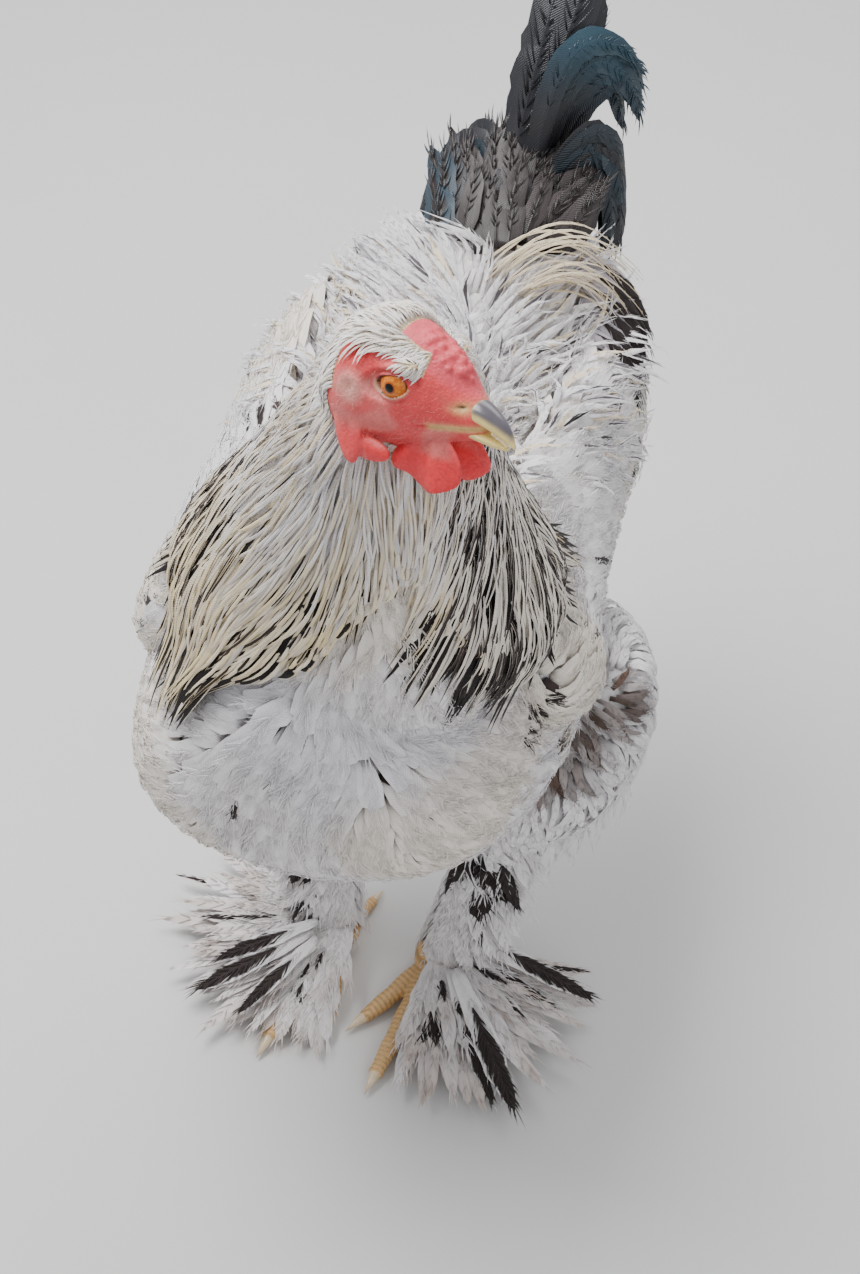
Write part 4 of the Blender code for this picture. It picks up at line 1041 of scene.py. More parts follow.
def feathers(name, spines, ups, halves, ground, mark, mark_width, material, slot, thick=0.0005,
             camber=0.22, ragged=0.12, uv_roots=None, blunt=0.0):
    """One mesh of closed vanes, sharp at their edges and pointed at their tips.

    spines and ups are N x S x 3, halves and mark_width N x S, ground N x S x 3 and mark N x 3.
    """
    many, count = spines.shape[:2]
    spines = spines.copy()
    spines[:, -2] += (spines[:, -1] - spines[:, -2]) * blunt
    along = unit(np.gradient(spines, axis=1))
    side = unit(np.cross(along, ups))
    rise = unit(np.cross(side, along))
    left = (halves * (1 + RNG.normal(0, ragged, halves.shape)))[..., None]
    right = (halves * (1 + RNG.normal(0, ragged, halves.shape)))[..., None]
    ridge = rise * (thick + camber * halves[..., None])
    sections = np.stack([spines - side * left, spines + ridge, spines + side * right], axis=2)[:, :-1]
    per = 3 * (count - 1) + 1
    points = np.concatenate([sections.reshape(many, -1, 3), spines[:, -1:]], axis=1).reshape(-1, 3)
    steps = np.arange(count - 2)[:, None] * 3
    ring = np.arange(3)[None, :]
    turn = (ring + 1) % 3
    quads = np.stack([steps + ring, steps + turn, steps + 3 + turn, steps + 3 + ring], axis=-1).reshape(-1, 4)
    end = 3 * (count - 2)
    tips = np.stack([end + ring[0], end + turn[0], np.full(3, end + 3)], axis=-1)
    tips = np.concatenate([tips, [[2, 1, 0]]])
    first = (np.arange(many) * per)[:, None, None]
    quads = (quads[None] + first).reshape(-1, 4)
    tips = (tips[None] + first).reshape(-1, 3)
    mesh = bpy.data.meshes.new(name)
    mesh.vertices.add(len(points))
    mesh.vertices.foreach_set("co", (points - np.array(ORIGIN)).astype(np.float32).ravel())
    corners = np.concatenate([quads.ravel(), tips.ravel()])
    mesh.loops.add(len(corners))
    mesh.loops.foreach_set("vertex_index", corners.astype(np.int32))
    mesh.polygons.add(len(quads) + len(tips))
    starts = np.concatenate([np.arange(len(quads)) * 4, len(quads) * 4 + np.arange(len(tips)) * 3])
    mesh.polygons.foreach_set("loop_start", starts.astype(np.int32))
    mesh.update(calc_edges=True)
    mesh.shade_smooth()
    sharpen(mesh, per)
    share = np.linspace(0, 1, count)
    lengths = np.linalg.norm(np.diff(spines, axis=1), axis=2).sum(axis=1)
    across = np.tile(np.array((-1.0, 0.0, 1.0)), (many, count - 1, 1))
    barbs = (share[None, :-1] * lengths[:, None])[..., None] + np.abs(across) * halves[:, :-1, None]
    vane = np.stack([across, np.broadcast_to(share[None, :-1, None], across.shape), barbs / 0.0016], axis=-1)
    tip_vane = np.stack([np.zeros(many), np.ones(many), lengths / 0.0016], axis=-1)[:, None]
    vane = np.concatenate([vane.reshape(many, -1, 3), tip_vane], axis=1)
    repeats = [3] * (count - 1) + [1]
    put_attribute(mesh, "vane", "FLOAT_VECTOR", vane.reshape(-1, 3))
    put_attribute(mesh, "ground", "FLOAT_COLOR", with_alpha(np.repeat(ground, repeats, axis=1)).reshape(-1, 4))
    marks = with_alpha(np.broadcast_to(mark[:, None], spines.shape), mark_width)
    put_attribute(mesh, "mark", "FLOAT_COLOR", np.repeat(marks, repeats, axis=1).reshape(-1, 4))
    patch = unwrap(spines[:, 0] if uv_roots is None else uv_roots)[:, None] + 0.0015 * np.stack(
        [vane[..., 0], 2 * vane[..., 1] - 1], axis=-1
    )
    patch = patch.reshape(-1, 2)[corners]
    mesh.uv_layers.new(name="OFBake").data.foreach_set("uv", patch.astype(np.float32).ravel())
    mesh.materials.append(material)
    mesh.validate()
    coat = link(name, mesh)
    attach(coat, "root")
    return coat


def sharpen(mesh, per):
    """Keeps the two edges of every vane sharp, so that each side shades as a flat sheet."""
    ends = np.empty(len(mesh.edges) * 2, np.int32)
    mesh.edges.foreach_get("vertices", ends)
    place = ends.reshape(-1, 2) % per
    edge = (place % 3 != 1) | (place == per - 1)
    same = (place[:, 0] % 3 == place[:, 1] % 3) | (place == per - 1).any(axis=1)
    sharp = mesh.attributes.new("sharp_edge", "BOOLEAN", "EDGE")
    sharp.data.foreach_set("value", edge.all(axis=1) & same)


def at_share(values, share):
    """The values of each feather at its own share of the way from root to tip."""
    last = values.shape[1] - 1
    place = np.clip(share, 0.0, 1.0) * last
    below = np.minimum(place.astype(int), last - 1)
    rest = (place - below).reshape((-1,) + (1,) * (values.ndim - 2))
    rows = np.arange(len(values))
    return values[rows, below] * (1 - rest) + values[rows, below + 1] * rest


def barbs(name, roots, spines, ups, halves, ground, mark, width, material, slot, per_side=4, low=0.3,
          forward=1.5, thin=0.00045, reaches=(0.75, 1.30), loose=0.0003):
    """Fine blades that leave the shaft of each feather, follow its bend and pass its edges and tip."""
    many = len(spines)
    lengths = np.linalg.norm(np.diff(spines, axis=1), axis=2).sum(axis=1)
    widest = halves.max(axis=1)
    along_all = unit(np.gradient(spines, axis=1))
    fine, fine_ups, colours = [], [], []
    for number in range(per_side * 2):
        sign = 1.0 if number % 2 else -1.0
        share = low + (0.97 - low) * (number // 2 + RNG.random(many)) / per_side
        onward = forward * widest * RNG.uniform(0.7, 1.5, many) / lengths
        reach = np.maximum(at_share(halves, share), 0.25 * widest) * RNG.uniform(*reaches, many)
        stray = RNG.normal(0.0, loose, many)
        blade = []
        for step, out, lift in ((0.0, 0.12, 1.0), (0.5, 0.62, 0.7), (1.0, 1.0, 0.1)):
            place = share + onward * step
            spot, along, up = at_share(spines, place), unit(at_share(along_all, place)), at_share(ups, place)
            side = unit(np.cross(along, up)) * sign
            beyond = np.clip(place - 1.0, 0.0, 0.25) * lengths
            height = lift * (0.0005 + 0.2 * widest) + stray * step
            blade.append(spot + along * beyond[:, None] + side * (reach * out)[:, None] + up * height[:, None])
        fine.append(np.stack(blade, axis=1))
        fine_ups.append(np.repeat(at_share(ups, share)[:, None], 3, axis=1))
        plain, wide = at_share(ground, share), at_share(width, share)
        shade = [smooth_step(at - 0.12, at + 0.12, wide)[:, None] for at in (0.15, 0.60, 0.97)]
        colours.append(np.stack([plain * (1 - s) + mark * s for s in shade], axis=1))
    fine, fine_ups = np.concatenate(fine), np.concatenate(fine_ups)
    fine[..., 2] = np.maximum(fine[..., 2], 0.0012)
    colours = np.concatenate(colours) * RNG.uniform(0.90, 1.08, (len(fine), 1, 1))
    widths = np.tile(np.clip(widest / 0.007, 0.45, 1.2), per_side * 2)
    blade = (thin * widths * RNG.uniform(0.7, 1.4, len(fine)))[:, None] * np.array((0.8, 1.0, 0.1))
    feathers(
        name, fine, fine_ups, blade, np.clip(colours, 0, 0.9), np.zeros((len(fine), 3)), np.zeros((len(fine), 3)),
        material, slot, thick=0.0003, camber=0.0, ragged=0.0, uv_roots=np.tile(roots, (per_side * 2, 1)),
    )


def tinted(base, many, count, spread_share=0.06):
    """Ground colours for many feathers, each a little lighter or darker."""
    shade = 1 + RNG.normal(0, spread_share, (many, 1, 1))
    return np.clip(np.broadcast_to(base, (many, count, 3)) * shade, 0.0, 0.9)


def way_body(place, normal):
    aside = min(max((place.x + 0.015) / 0.08, -1.0), 1.0)
    return (aside * 0.16, 0.62, -0.60)


def way_hackle(place, normal):
    x, y, _, _ = values_at(NECK_ROWS, place.z)
    away = Vector((place.x - x, place.y - y, 0)).normalized()
    return away * 0.50 + Vector((0, 0.08, -0.85))


def head_way(direction):
    return np.array(head_matrix())[:3, :3] @ np.array(direction)


CROWN_BACK = head_way((0, 1.0, -0.25))
CROWN_DOWN = head_way((0, 0.45, -1.0))


def way_crown(place, normal):
    local = head_matrix().inverted() @ Vector(place)
    share = min(max(abs(local.x) / 0.02, 0.0), 1.0)
    back = min(max((local.y - 0.010) / 0.03, 0.0), 1.0)
    mix = max(share * 0.55, back)
    return CROWN_BACK * (1 - mix) + CROWN_DOWN * mix


def way_thigh(place, normal):
    return (0.0, 0.30, -1.0)


def way_saddle(place, normal):
    side = 1.0 if place.x > 0.0 else -1.0
    out = min(abs(place.x - 0.004) / 0.10, 1.0)
    return (side * (0.10 + 0.55 * out), 1.0 - 0.25 * out, -0.25 - 0.45 * out)


def way_wing(place, normal):
    return (0.0, 1.0, -0.42)


def noise_field(points, size, seed):
    """Smooth random values of about -1 to 1, the same at the same place."""
    draw = np.random.default_rng(seed)
    total = np.zeros(len(points))
    for _ in range(6):
        wave = draw.normal(0, 1, 3) / size
        total += np.sin(points @ wave + draw.uniform(0, 6.28))
    return total / 2.2


def plumage(kind):
    return {
        "body": feather_material("body_feathers", 0.85, 0.12, 0.2, 0.25),
        "hackle": feather_material("hackle_feathers", 0.55, 0.0, 0.16, 0.45, 0.16),
        "wing": feather_material("wing_feathers", 0.75, 0.08, 0.25, 0.40),
        "tail": feather_material("tail_feathers", 0.36, 0.0, 0.5, 0.55),
        "leg": feather_material("leg_feathers", 0.75, 0.08, 0.25, 0.40, 0.7),
    }[kind]


def build_body_coat(tree, skin, material):
    """Soft feathers over the breast, belly, back and flanks, with their barbs."""
    points, faces = skin

    def wanted(places, normals):
        x, y, z = places.T
        on_leg = (z < 0.155) | (thigh_share(places) > 0.5)
        hidden = z > 0.500
        under_tail = ((y > 0.240) & (z > 0.415)) | ((y > 0.182) & (z > 0.425))
        return ~on_leg & ~hidden & ~under_tail

    roots, _ = scatter(points, faces, wanted, 0.0063, 32000)
    lengths = RNG.uniform(0.022, 0.030, len(roots)) * (1 + 0.2 * over_thigh(roots))
    spring = RNG.uniform(0.0085, 0.0098, len(roots)) * (1 - 0.6 * under_hackle(roots))
    turned = 0.18 * noise_field(roots, 0.025, 31)
    spines, ups = lay(tree, roots, way_body, lengths, (0.15, 0.60, 0.85, 0.95, 0.88), 0.10, spring, turned)
    many, count = spines.shape[:2]
    ground = tinted(WHITE, many, count, 0.02)
    # Painted shade: random blotches of the lilac of white plumage in shade.
    lilac_shade = smooth_step(0.2, 0.9, noise_field(roots, 0.030, 3))[:, None, None]
    ground = ground * (1 - 0.5 * lilac_shade) + SHADED_WHITE * 0.5 * lilac_shade
    warm = smooth_step(0.2, 1.0, noise_field(roots, 0.040, 4))[:, None, None]
    ground = ground * (1 - 0.22 * warm) + CREAM * 0.22 * warm
    # Painted shade: brown under the belly on the left flank, where the fluff lies in shade.
    underside_shade = (smooth_step(0.262, 0.235, roots[:, 2]) * smooth_step(0.03, 0.06, roots[:, 0]))[:, None, None]
    ground = ground * (1 - 0.85 * underside_shade) + BROWN * 0.85 * underside_shade
    flecks = noise_field(roots, 0.010, 6)
    marked = (flecks > 1.7) & (RNG.random(many) < 0.5)
    width = np.where(marked, 0.5, 0.0)[:, None] * np.array((0.0, 0.2, 0.9, 1.0, 0.7))
    width = np.maximum(width, breast_marks(spines))
    mark = np.tile(DARK, (many, 1)) * RNG.uniform(1.0, 3.5, (many, 1))
    halves = RNG.uniform(0.0056, 0.0074, many)[:, None] * outline(count, 0.5, 0.6, 0.55)
    front = roots[:, 1] < 0.0
    for key, part in (("front", front), ("rear", ~front)):
        chosen = [values[part] for values in (roots, spines, ups, halves, ground, mark, width)]
        split_by_side(
            "coat_" + key, *chosen, material, "white_plumage", 5, 2.4, (0.30, 0.95), 0.00026,
            thick=0.0003, camber=0.05, ragged=0.08, blunt=0.55,
        )


def thigh_share(places):
    """Nearly 1 on the thighs, and nearly 0 above them and elsewhere on the body."""
    total = np.zeros(len(places))
    for outward in (0.088, -0.076):
        away = np.hypot(places[:, 0] - outward, places[:, 1] - 0.040)
        total = np.maximum(total, smooth_step(0.082, 0.074, away))
    below = smooth_step(0.290, 0.278, places[:, 2])
    return total * below * smooth_step(0.118, 0.124, places[:, 2])


def over_thigh(places):
    """Nearly 1 on the flank just above the thighs, where the feathers hang over them."""
    near = smooth_step(0.100, 0.075, np.abs(places[:, 1] - 0.030)) * (np.abs(places[:, 0]) > 0.05)
    return near * smooth_step(0.270, 0.285, places[:, 2]) * smooth_step(0.345, 0.320, places[:, 2])


def breast_marks(spines):
    """The few black marks that stand alone on the breast and the wing's bend."""
    total = np.zeros(spines.shape[:2])
    for x, y, z, reach in BREAST_MARKS:
        gap = np.linalg.norm(spines - np.array((x, y, z)), axis=2)
        total = np.maximum(total, 1.1 * smooth_step(reach * 1.25, reach * 0.7, gap))
    return total


def split_by_side(name, roots, spines, ups, halves, ground, mark, width, material, slot, barbed=0,
                  forward=1.8, reaches=(0.6, 1.1), thin=0.00045, **looks):
    for key, side in SIDES:
        mine = (roots[:, 0] > -0.01) == (side > 0)
        chosen = [part[mine] for part in (spines, ups, halves, ground, mark, width)]
        feathers(name + "_" + key, *chosen, material, slot, uv_roots=roots[mine], **looks)
        if barbed:
            barbs(
                name + "_barbs_" + key, roots[mine], *chosen, material, slot, barbed, forward=forward,
                thin=thin, reaches=reaches,
            )


def neck_turn(places):
    """The angle around the neck from the throat, in degrees."""
    rows = np.array([values_at(NECK_ROWS, z)[:2] for z in places[:, 2]])
    return np.degrees(np.arctan2(places[:, 0] - rows[:, 0], -(places[:, 1] - rows[:, 1])))


def under_hackle(places):
    """Nearly 1 where the hackle lies over the body."""
    centre = np.array([values_at(NECK_ROWS, z)[:2] for z in places[:, 2]])
    away = np.linalg.norm(places[:, :2] - centre, axis=1)
    edge = np.array([values_at(HACKLE_EDGE, turn)[0] for turn in neck_turn(places)])
    return smooth_step(edge - 0.012, edge + 0.016, places[:, 2]) * smooth_step(0.150, 0.128, away)


def in_head(places):
    """True inside the head, where no feather of the neck may start."""
    x, y, z = to_head(places).T
    rows = np.array(sorted(HEAD_ROWS))
    middle, half, up, down = [np.interp(y, rows[:, 0], rows[:, k], 0.0, 0.0) for k in range(1, 5)]
    reach = np.maximum(np.where(z > middle, up, down), 1e-5)
    return (x / np.maximum(half, 1e-5)) ** 2 + ((z - middle) / reach) ** 2 < 1.0


# Layers of the hackle: name, lowest and highest root, gap, half width, extra lift, least length
HACKLE_LAYERS = (
    ("hackle_dark", 0.425, 0.562, 0.0048, 0.0030, 0.0, 0.70),
    ("hackle_pale", 0.430, 0.590, 0.0029, 0.0009, 0.0026, 0.45),
)


def build_hackle(tree, skin, material):
    """Long narrow pointed feathers in locks: broad ones with dark middles under fine pale ones."""
    for layer in HACKLE_LAYERS:
        hackle_layer(tree, skin, material, *layer)


def hackle_layer(tree, skin, material, name, low, high, gap, half, lift, least):
    points, faces = skin

    def wanted(places, normals):
        on_neck = (places[:, 1] < 0.085) & (places[:, 2] > low) & (places[:, 2] < high)
        return on_neck & ~in_head(places)

    roots, _ = scatter(points, faces, wanted, gap, 30000)
    turns = neck_turn(roots)
    edge = np.array([values_at(HACKLE_EDGE, turn)[0] for turn in turns])
    room = (roots[:, 2] - edge) / 0.86
    sparse = 0.45 * smooth_step(0.525, 0.480, roots[:, 2]) if least < 0.5 else 0.0
    keep = (room > 0.016) & (RNG.random(len(roots)) > sparse)
    roots, turns, room = roots[keep], turns[keep], room[keep]
    height = smooth_step(0.572, 0.460, roots[:, 2])
    lengths = np.minimum(room, 0.034 + 0.115 * height) * RNG.uniform(least, 1.0, len(roots))
    spring = 0.0036 + 0.0030 * height + lift + RNG.uniform(0, 0.0012, len(roots))
    stretched = roots * np.array((1, 1, 0.3))
    turned = 0.16 * noise_field(stretched, 0.020, 42)
    bow = 0.30 * noise_field(stretched, 0.026, 43)
    lifts = (0.05, 0.7, 1.0, 1.1, 1.1, 1.05, 0.95, 0.75, 0.40)
    spines, ups = lay(tree, roots, way_hackle, lengths, lifts, 0.035, spring, turned, bow)
    spines = spines + ups * 0.0075 * smooth_step(0.465, 0.395, spines[..., 2:])
    spines = relax(gather(spines, 0.012, 0.65), 3)
    ground, mark, width = hackle_colours(spines, turns, name == "hackle_dark")
    broad = half * (0.42 + 0.58 * height * RNG.uniform(0.75, 1.2, len(roots)))
    halves = broad[:, None] * outline(spines.shape[1], 0.6, 0.50, 1.1)
    split_by_side(
        name, roots, spines, ups, halves, ground, mark, width, material, "hackle_plumage",
        thick=0.0003, camber=0.22, ragged=0.05,
    )


def hackle_colours(spines, turns, broad):
    """Pale at the top of the neck, with cream edges and dark middles lower down."""
    many, count = spines.shape[:2]
    height = spines[:, :, 2]
    low = smooth_step(0.52, 0.42, height)[..., None]
    pale = np.clip(RNG.uniform(0.0, 1.0, (many, 1, 1)) * (1 - 0.45 * low) + 0.25 * (1 - low), 0, 1)
    pale = np.maximum(pale, 0.7 * (smooth_step(42, 60, turns) * smooth_step(135, 115, turns))[:, None, None])
    ground = tinted(CREAM, many, count, 0.05) * (1 - pale) + WHITE * pale
    shadow = RNG.uniform(0.55, 1.0, (many, 1, 1)) * (RNG.random((many, 1, 1)) < 0.35)
    ground = ground * (1 - 0.45 * shadow) + GREY * 0.9 * 0.45 * shadow
    outer = smooth_step(62, 95, np.abs(turns))[:, None]
    throat = smooth_step(34, 8, np.abs(turns - 14))[:, None]
    beside = (smooth_step(42, 60, turns) * smooth_step(135, 115, turns))[:, None]
    start = 0.494 + 0.040 * outer + 0.055 * beside + RNG.normal(0, 0.008, (many, 1))
    dark = smooth_step(start, start - 0.055, height) * (1 - 0.45 * throat)
    share = np.linspace(0, 1, count)
    profile = np.interp(share, (0.0, 0.10, 0.45, 0.80, 0.95, 1.0), (0.30, 0.50, 0.78, 0.90, 0.80, 0.3))
    if broad:
        chosen = RNG.random(many) < 0.85
        mark = np.tile(DARK, (many, 1)) * RNG.uniform(0.15, 0.8, (many, 1))
    else:
        chosen = RNG.random(many) < 0.10 + 0.25 * np.maximum(outer, beside)[:, 0]
        mark = np.tile(DARK, (many, 1)) * RNG.uniform(0.6, 3.0, (many, 1))
    width = np.clip(dark * chosen[:, None] * (1 + 0.30 * outer + 0.25 * beside), 0, 1.15) * profile[None]
    return ground, mark, width


def build_crown(tree, head, material):
    """Short fine feathers on the crown, nape and throat."""
    points, faces = head

    def wanted(places, normals):
        return crown_share(to_head(places)) > 0.6

    roots, _ = scatter(points, faces, wanted, 0.00105, 50000)
    back = smooth_step(0.000, 0.035, to_head(roots)[:, 1])
    local = to_head(roots)
    top = smooth_step(0.016, 0.025, local[:, 2]) * smooth_step(-0.014, -0.002, local[:, 1])
    lengths = (0.0065 + 0.0055 * top + 0.018 * back) * RNG.uniform(0.8, 1.2, len(roots))
    spring = (0.0011 + 0.0032 * top + 0.0022 * back) * RNG.uniform(0.6, 1.2, len(roots))
    turned = 0.35 * noise_field(roots, 0.006, 51)
    spines, ups = lay(tree, roots, way_crown, lengths, (0.1, 0.7, 1.0, 1.15, 1.1), 0.16, spring, turned)
    many, count = spines.shape[:2]
    ground = tinted(WHITE, many, count, 0.04)
    cream = RNG.uniform(0.0, 0.35, many)[:, None, None]
    ground = np.clip((ground * (1 - cream) + CREAM * cream) * 1.06, 0, 0.93)
    mark = np.tile(GREY * 0.7, (many, 1))
    width = ((RNG.random(many) < 0.03) * 0.30)[:, None] * np.array((0.0, 0.6, 1.0, 1.0, 0.6))
    halves = (0.00044 + 0.0006 * back)[:, None] * outline(count, 0.7, 0.40, 1.0)
    feathers("crown", spines, ups, halves, ground, mark, width, material, "white_plumage", 0.0002, 0.2, 0.05)


def build_bristles(tree, head, material):
    """Short pale bristles that grow thinly from the bare face, and the tuft over the ear."""
    points, faces = head

    def wanted(places, normals):
        x, y, z = to_head(places).T
        face = (np.abs(x) > 0.008) & (y > -0.030) & (y < 0.022) & (z > -0.021) & (z < 0.014)
        ring = np.hypot((y - EYE_PLACE.y) / 0.0074, (z - EYE_PLACE.z) / 0.0048)
        return face & (ring > 1.45) & (crown_share(to_head(places)) < 0.4)

    roots, _ = scatter(points, faces, wanted, 0.0021, 3600)
    local = to_head(roots)
    ear = np.exp(-(np.hypot(local[:, 1] - 0.013, local[:, 2] - 0.001) / 0.0065) ** 2)
    lengths = (0.0022 + 0.0022 * ear) * RNG.uniform(0.6, 1.3, len(roots))
    spring = RNG.uniform(0.0007, 0.0016, len(roots))
    spines, ups = lay(tree, roots, way_crown, lengths, (0.0, 0.7, 1.0, 1.2), 0.45, spring)
    many, count = spines.shape[:2]
    ground = tinted(FACE_RED * 0.35 + PALE_PINK * 0.65, many, count, 0.08)
    brown = (ear * (RNG.random(many) < 0.6))[:, None, None]
    ground = ground * (1 - brown) + TAN * 0.8 * brown
    halves = (0.000035 + 0.00013 * ear)[:, None] * outline(count, 0.9, 0.4, 1.0)
    nothing = np.zeros((many, count))
    mark = np.zeros((many, 3))
    feathers("bristles", spines, ups, halves, ground, mark, nothing, material, "white_plumage", 0.00012, 0.0, 0.0)


def build_saddle(tree, skin, material):
    """Pointed mottled feathers over the back and down its sides."""
    points, faces = skin

    def wanted(places, normals):
        x, y, z = places.T
        beside = np.abs(x - 0.002)
        over_wing = (beside > 0.046) & (y < 0.080)
        past_rump = (y > 0.192 - 0.25 * beside) & (z > 0.415)
        return (
            (y > 0.000) & (y < 0.236) & (normals[:, 2] > 0.25) & (z > 0.350) & (beside < 0.112)
            & ~over_wing & ~past_rump
        )

    roots, _ = scatter(points, faces, wanted, 0.0041, 24000)
    rear = smooth_step(0.08, 0.19, roots[:, 1])
    lengths = (0.020 + 0.012 * rear) * RNG.uniform(0.7, 1.3, len(roots))
    tufts = noise_field(roots, 0.010, 61)
    flat = smooth_step(0.050, 0.085, np.abs(roots[:, 0] - 0.002))
    spring = 0.0105 + 0.0020 * tufts + RNG.uniform(0, 0.003, len(roots)) - 0.0035 * flat
    turned = 0.40 * noise_field(roots, 0.012, 62)
    lifts = (0.2, 0.75, 1.0, 1.15, 1.3, 1.5)
    curl = RNG.normal(0.0, 0.3, len(roots))
    spines, ups = lay(tree, roots, way_saddle, lengths, lifts, 0.22, spring, turned, curl)
    ends = np.linspace(0, 1, len(lifts)) ** 2
    spines = spines + ups * (0.010 * rear * RNG.uniform(0.2, 1.3, len(roots)))[:, None, None] * ends[:, None]
    spines = gather(spines, 0.009, 0.5)
    many, count = spines.shape[:2]
    ground = tinted(WHITE, many, count, 0.04)
    # Painted shade: blotches of the lilac of white plumage in shade, over the back.
    lilac_shade = smooth_step(-0.4, 0.7, noise_field(roots, 0.020, 8))[:, None, None]
    ground = ground * (1 - 0.6 * lilac_shade) + SHADED_WHITE * 0.6 * lilac_shade
    cream = (RNG.random(many) < 0.10)[:, None, None] * 0.6
    ground = ground * (1 - cream) + CREAM * cream
    mottled = smooth_step(0.0, 0.9, noise_field(roots, 0.012, 9))
    left = smooth_step(0.02, 0.08, roots[:, 0]) * smooth_step(0.20, 0.12, roots[:, 1])
    share = np.linspace(0, 1, count)
    profile = np.interp(share, (0.0, 0.35, 0.6, 0.9, 1.0), (0.0, 0.3, 0.85, 0.50, 0.0))
    width = ((0.25 + 0.75 * mottled) * (RNG.random(many) < 0.16 + 0.22 * left))[:, None] * profile[None]
    mark = GREY * 0.6 + (DARK - GREY * 0.6) * RNG.uniform(0, 1, (many, 1))
    halves = RNG.uniform(0.0011, 0.0024, many)[:, None] * outline(count, 0.8, 0.35, 1.0)
    split_by_side(
        "saddle", roots, spines, ups, halves, ground, mark, width, material, "white_plumage", 3, 3.0,
        (0.7, 1.6), 0.00036, thick=0.0003, camber=0.08, ragged=0.08,
    )


def build_long_saddle(material):
    """The cream feathers that arch out over the left side of the rump, and the dark-tipped ones."""
    arch = []
    for root, middle, tip in SADDLE_ARCHES:
        for _ in range(15):
            shift = RNG.normal(0, 0.0045, 3)
            stray = RNG.normal(0, 0.0055, 3)
            way, bend, length = through(root + shift, middle + shift + stray / 2, tip + shift + stray)
            arch.append((root + shift, way, bend, (0.3, -0.3, 1.0), length, RNG.uniform(0.0005, 0.0010)))
    free_feathers(
        "saddle_arch", arch, 12, material, "white_plumage", tan_colours, 0.0004, 0.1, (0.7, 0.3, 1.0), 5
    )
    dark = []
    for k in range(7):
        root = np.array((0.050 + 0.003 * k, 0.208 - 0.007 * k, 0.427 - 0.005 * k))
        way = (1.0, -0.04 * k, 0.12)
        dark.append((root, way, (-0.12, -0.10, -0.80), (0.8, -0.5, 0.4), 0.062 - 0.003 * k, 0.0050))
    free_feathers("saddle_dark", dark, 9, material, "white_plumage", tip_colours, 0.0006, 0.15, barbed=8)


def tan_colours(spines):
    many, count = spines.shape[:2]
    blend = RNG.uniform(0.0, 0.5, (many, 1, 1))
    pale = CREAM * 0.6 + WHITE * 0.4
    ground = np.broadcast_to(pale, spines.shape) * (1 - blend) + TAN * 1.15 * blend
    return ground, np.tile(BROWN, (many, 1)), np.full((many, count), 0.10)


def tip_colours(spines):
    many, count = spines.shape[:2]
    ground = tinted(GREY * 1.1, many, count, 0.10)
    width = np.broadcast_to(np.linspace(-0.4, 1.9, count).clip(0, 1.1), (many, count))
    return ground, np.tile(DARK, (many, 1)), width


def build_wings(tree, skin, material):
    """Rounded coverts over each folded wing, and its long flight feathers."""
    points, faces = skin
    for key, side in SIDES:

        def wanted(places, normals, side=side):
            x, y, z = places.T
            on_side = (x * side > 0.06) & (normals[:, 0] * side > 0.30)
            return on_side & (y > -0.066) & (y < 0.17) & (z > 0.290) & (z < 0.410)

        roots, _ = scatter(points, faces, wanted, 0.0070, 9000)
        rear = smooth_step(-0.05, 0.14, roots[:, 1])
        lengths = (0.026 + 0.026 * rear) * RNG.uniform(0.9, 1.1, len(roots))
        spring = 0.0075 + 0.003 * rear + RNG.uniform(0, 0.0012, len(roots))
        spring = spring * (1 - 0.6 * under_hackle(roots))
        turned = 0.15 * noise_field(roots, 0.02, 71)
        spines, ups = lay(tree, roots, way_wing, lengths, (0.15, 0.7, 0.95, 1.05, 1.05, 1.0), 0.07, spring, turned)
        many, count = spines.shape[:2]
        ground = tinted(WHITE, many, count, 0.02)
        yellow = smooth_step(-0.1, 0.9, noise_field(roots, 0.03, 12))[:, None, None] * 0.28
        ground = ground * (1 - yellow) + CREAM * yellow
        marked = (noise_field(roots, 0.012, 14) > 1.3) | ((roots[:, 2] > 0.385) & (RNG.random(many) < 0.22))
        width = np.where(marked, 0.45, 0.0)[:, None] * np.array((0.1, 0.6, 1.0, 1.0, 0.7, 0.3))
        width = np.maximum(width, breast_marks(spines))
        mark = np.tile(DARK * 1.5, (many, 1))
        halves = RNG.uniform(0.0060, 0.0078, many)[:, None] * outline(count, 0.6, 0.6, 0.5)
        feathers(
            "coverts_" + key, spines, ups, halves, ground, mark, width, material, "wing_plumage",
            thick=0.0003, camber=0.06, blunt=0.55,
        )
        barbs(
            "coverts_barbs_" + key, roots, spines, ups, halves, ground, mark, width, material, "wing_plumage",
            5, forward=2.4, thin=0.00030, reaches=(0.4, 0.9),
        )
        quills(tree, key, side, material)


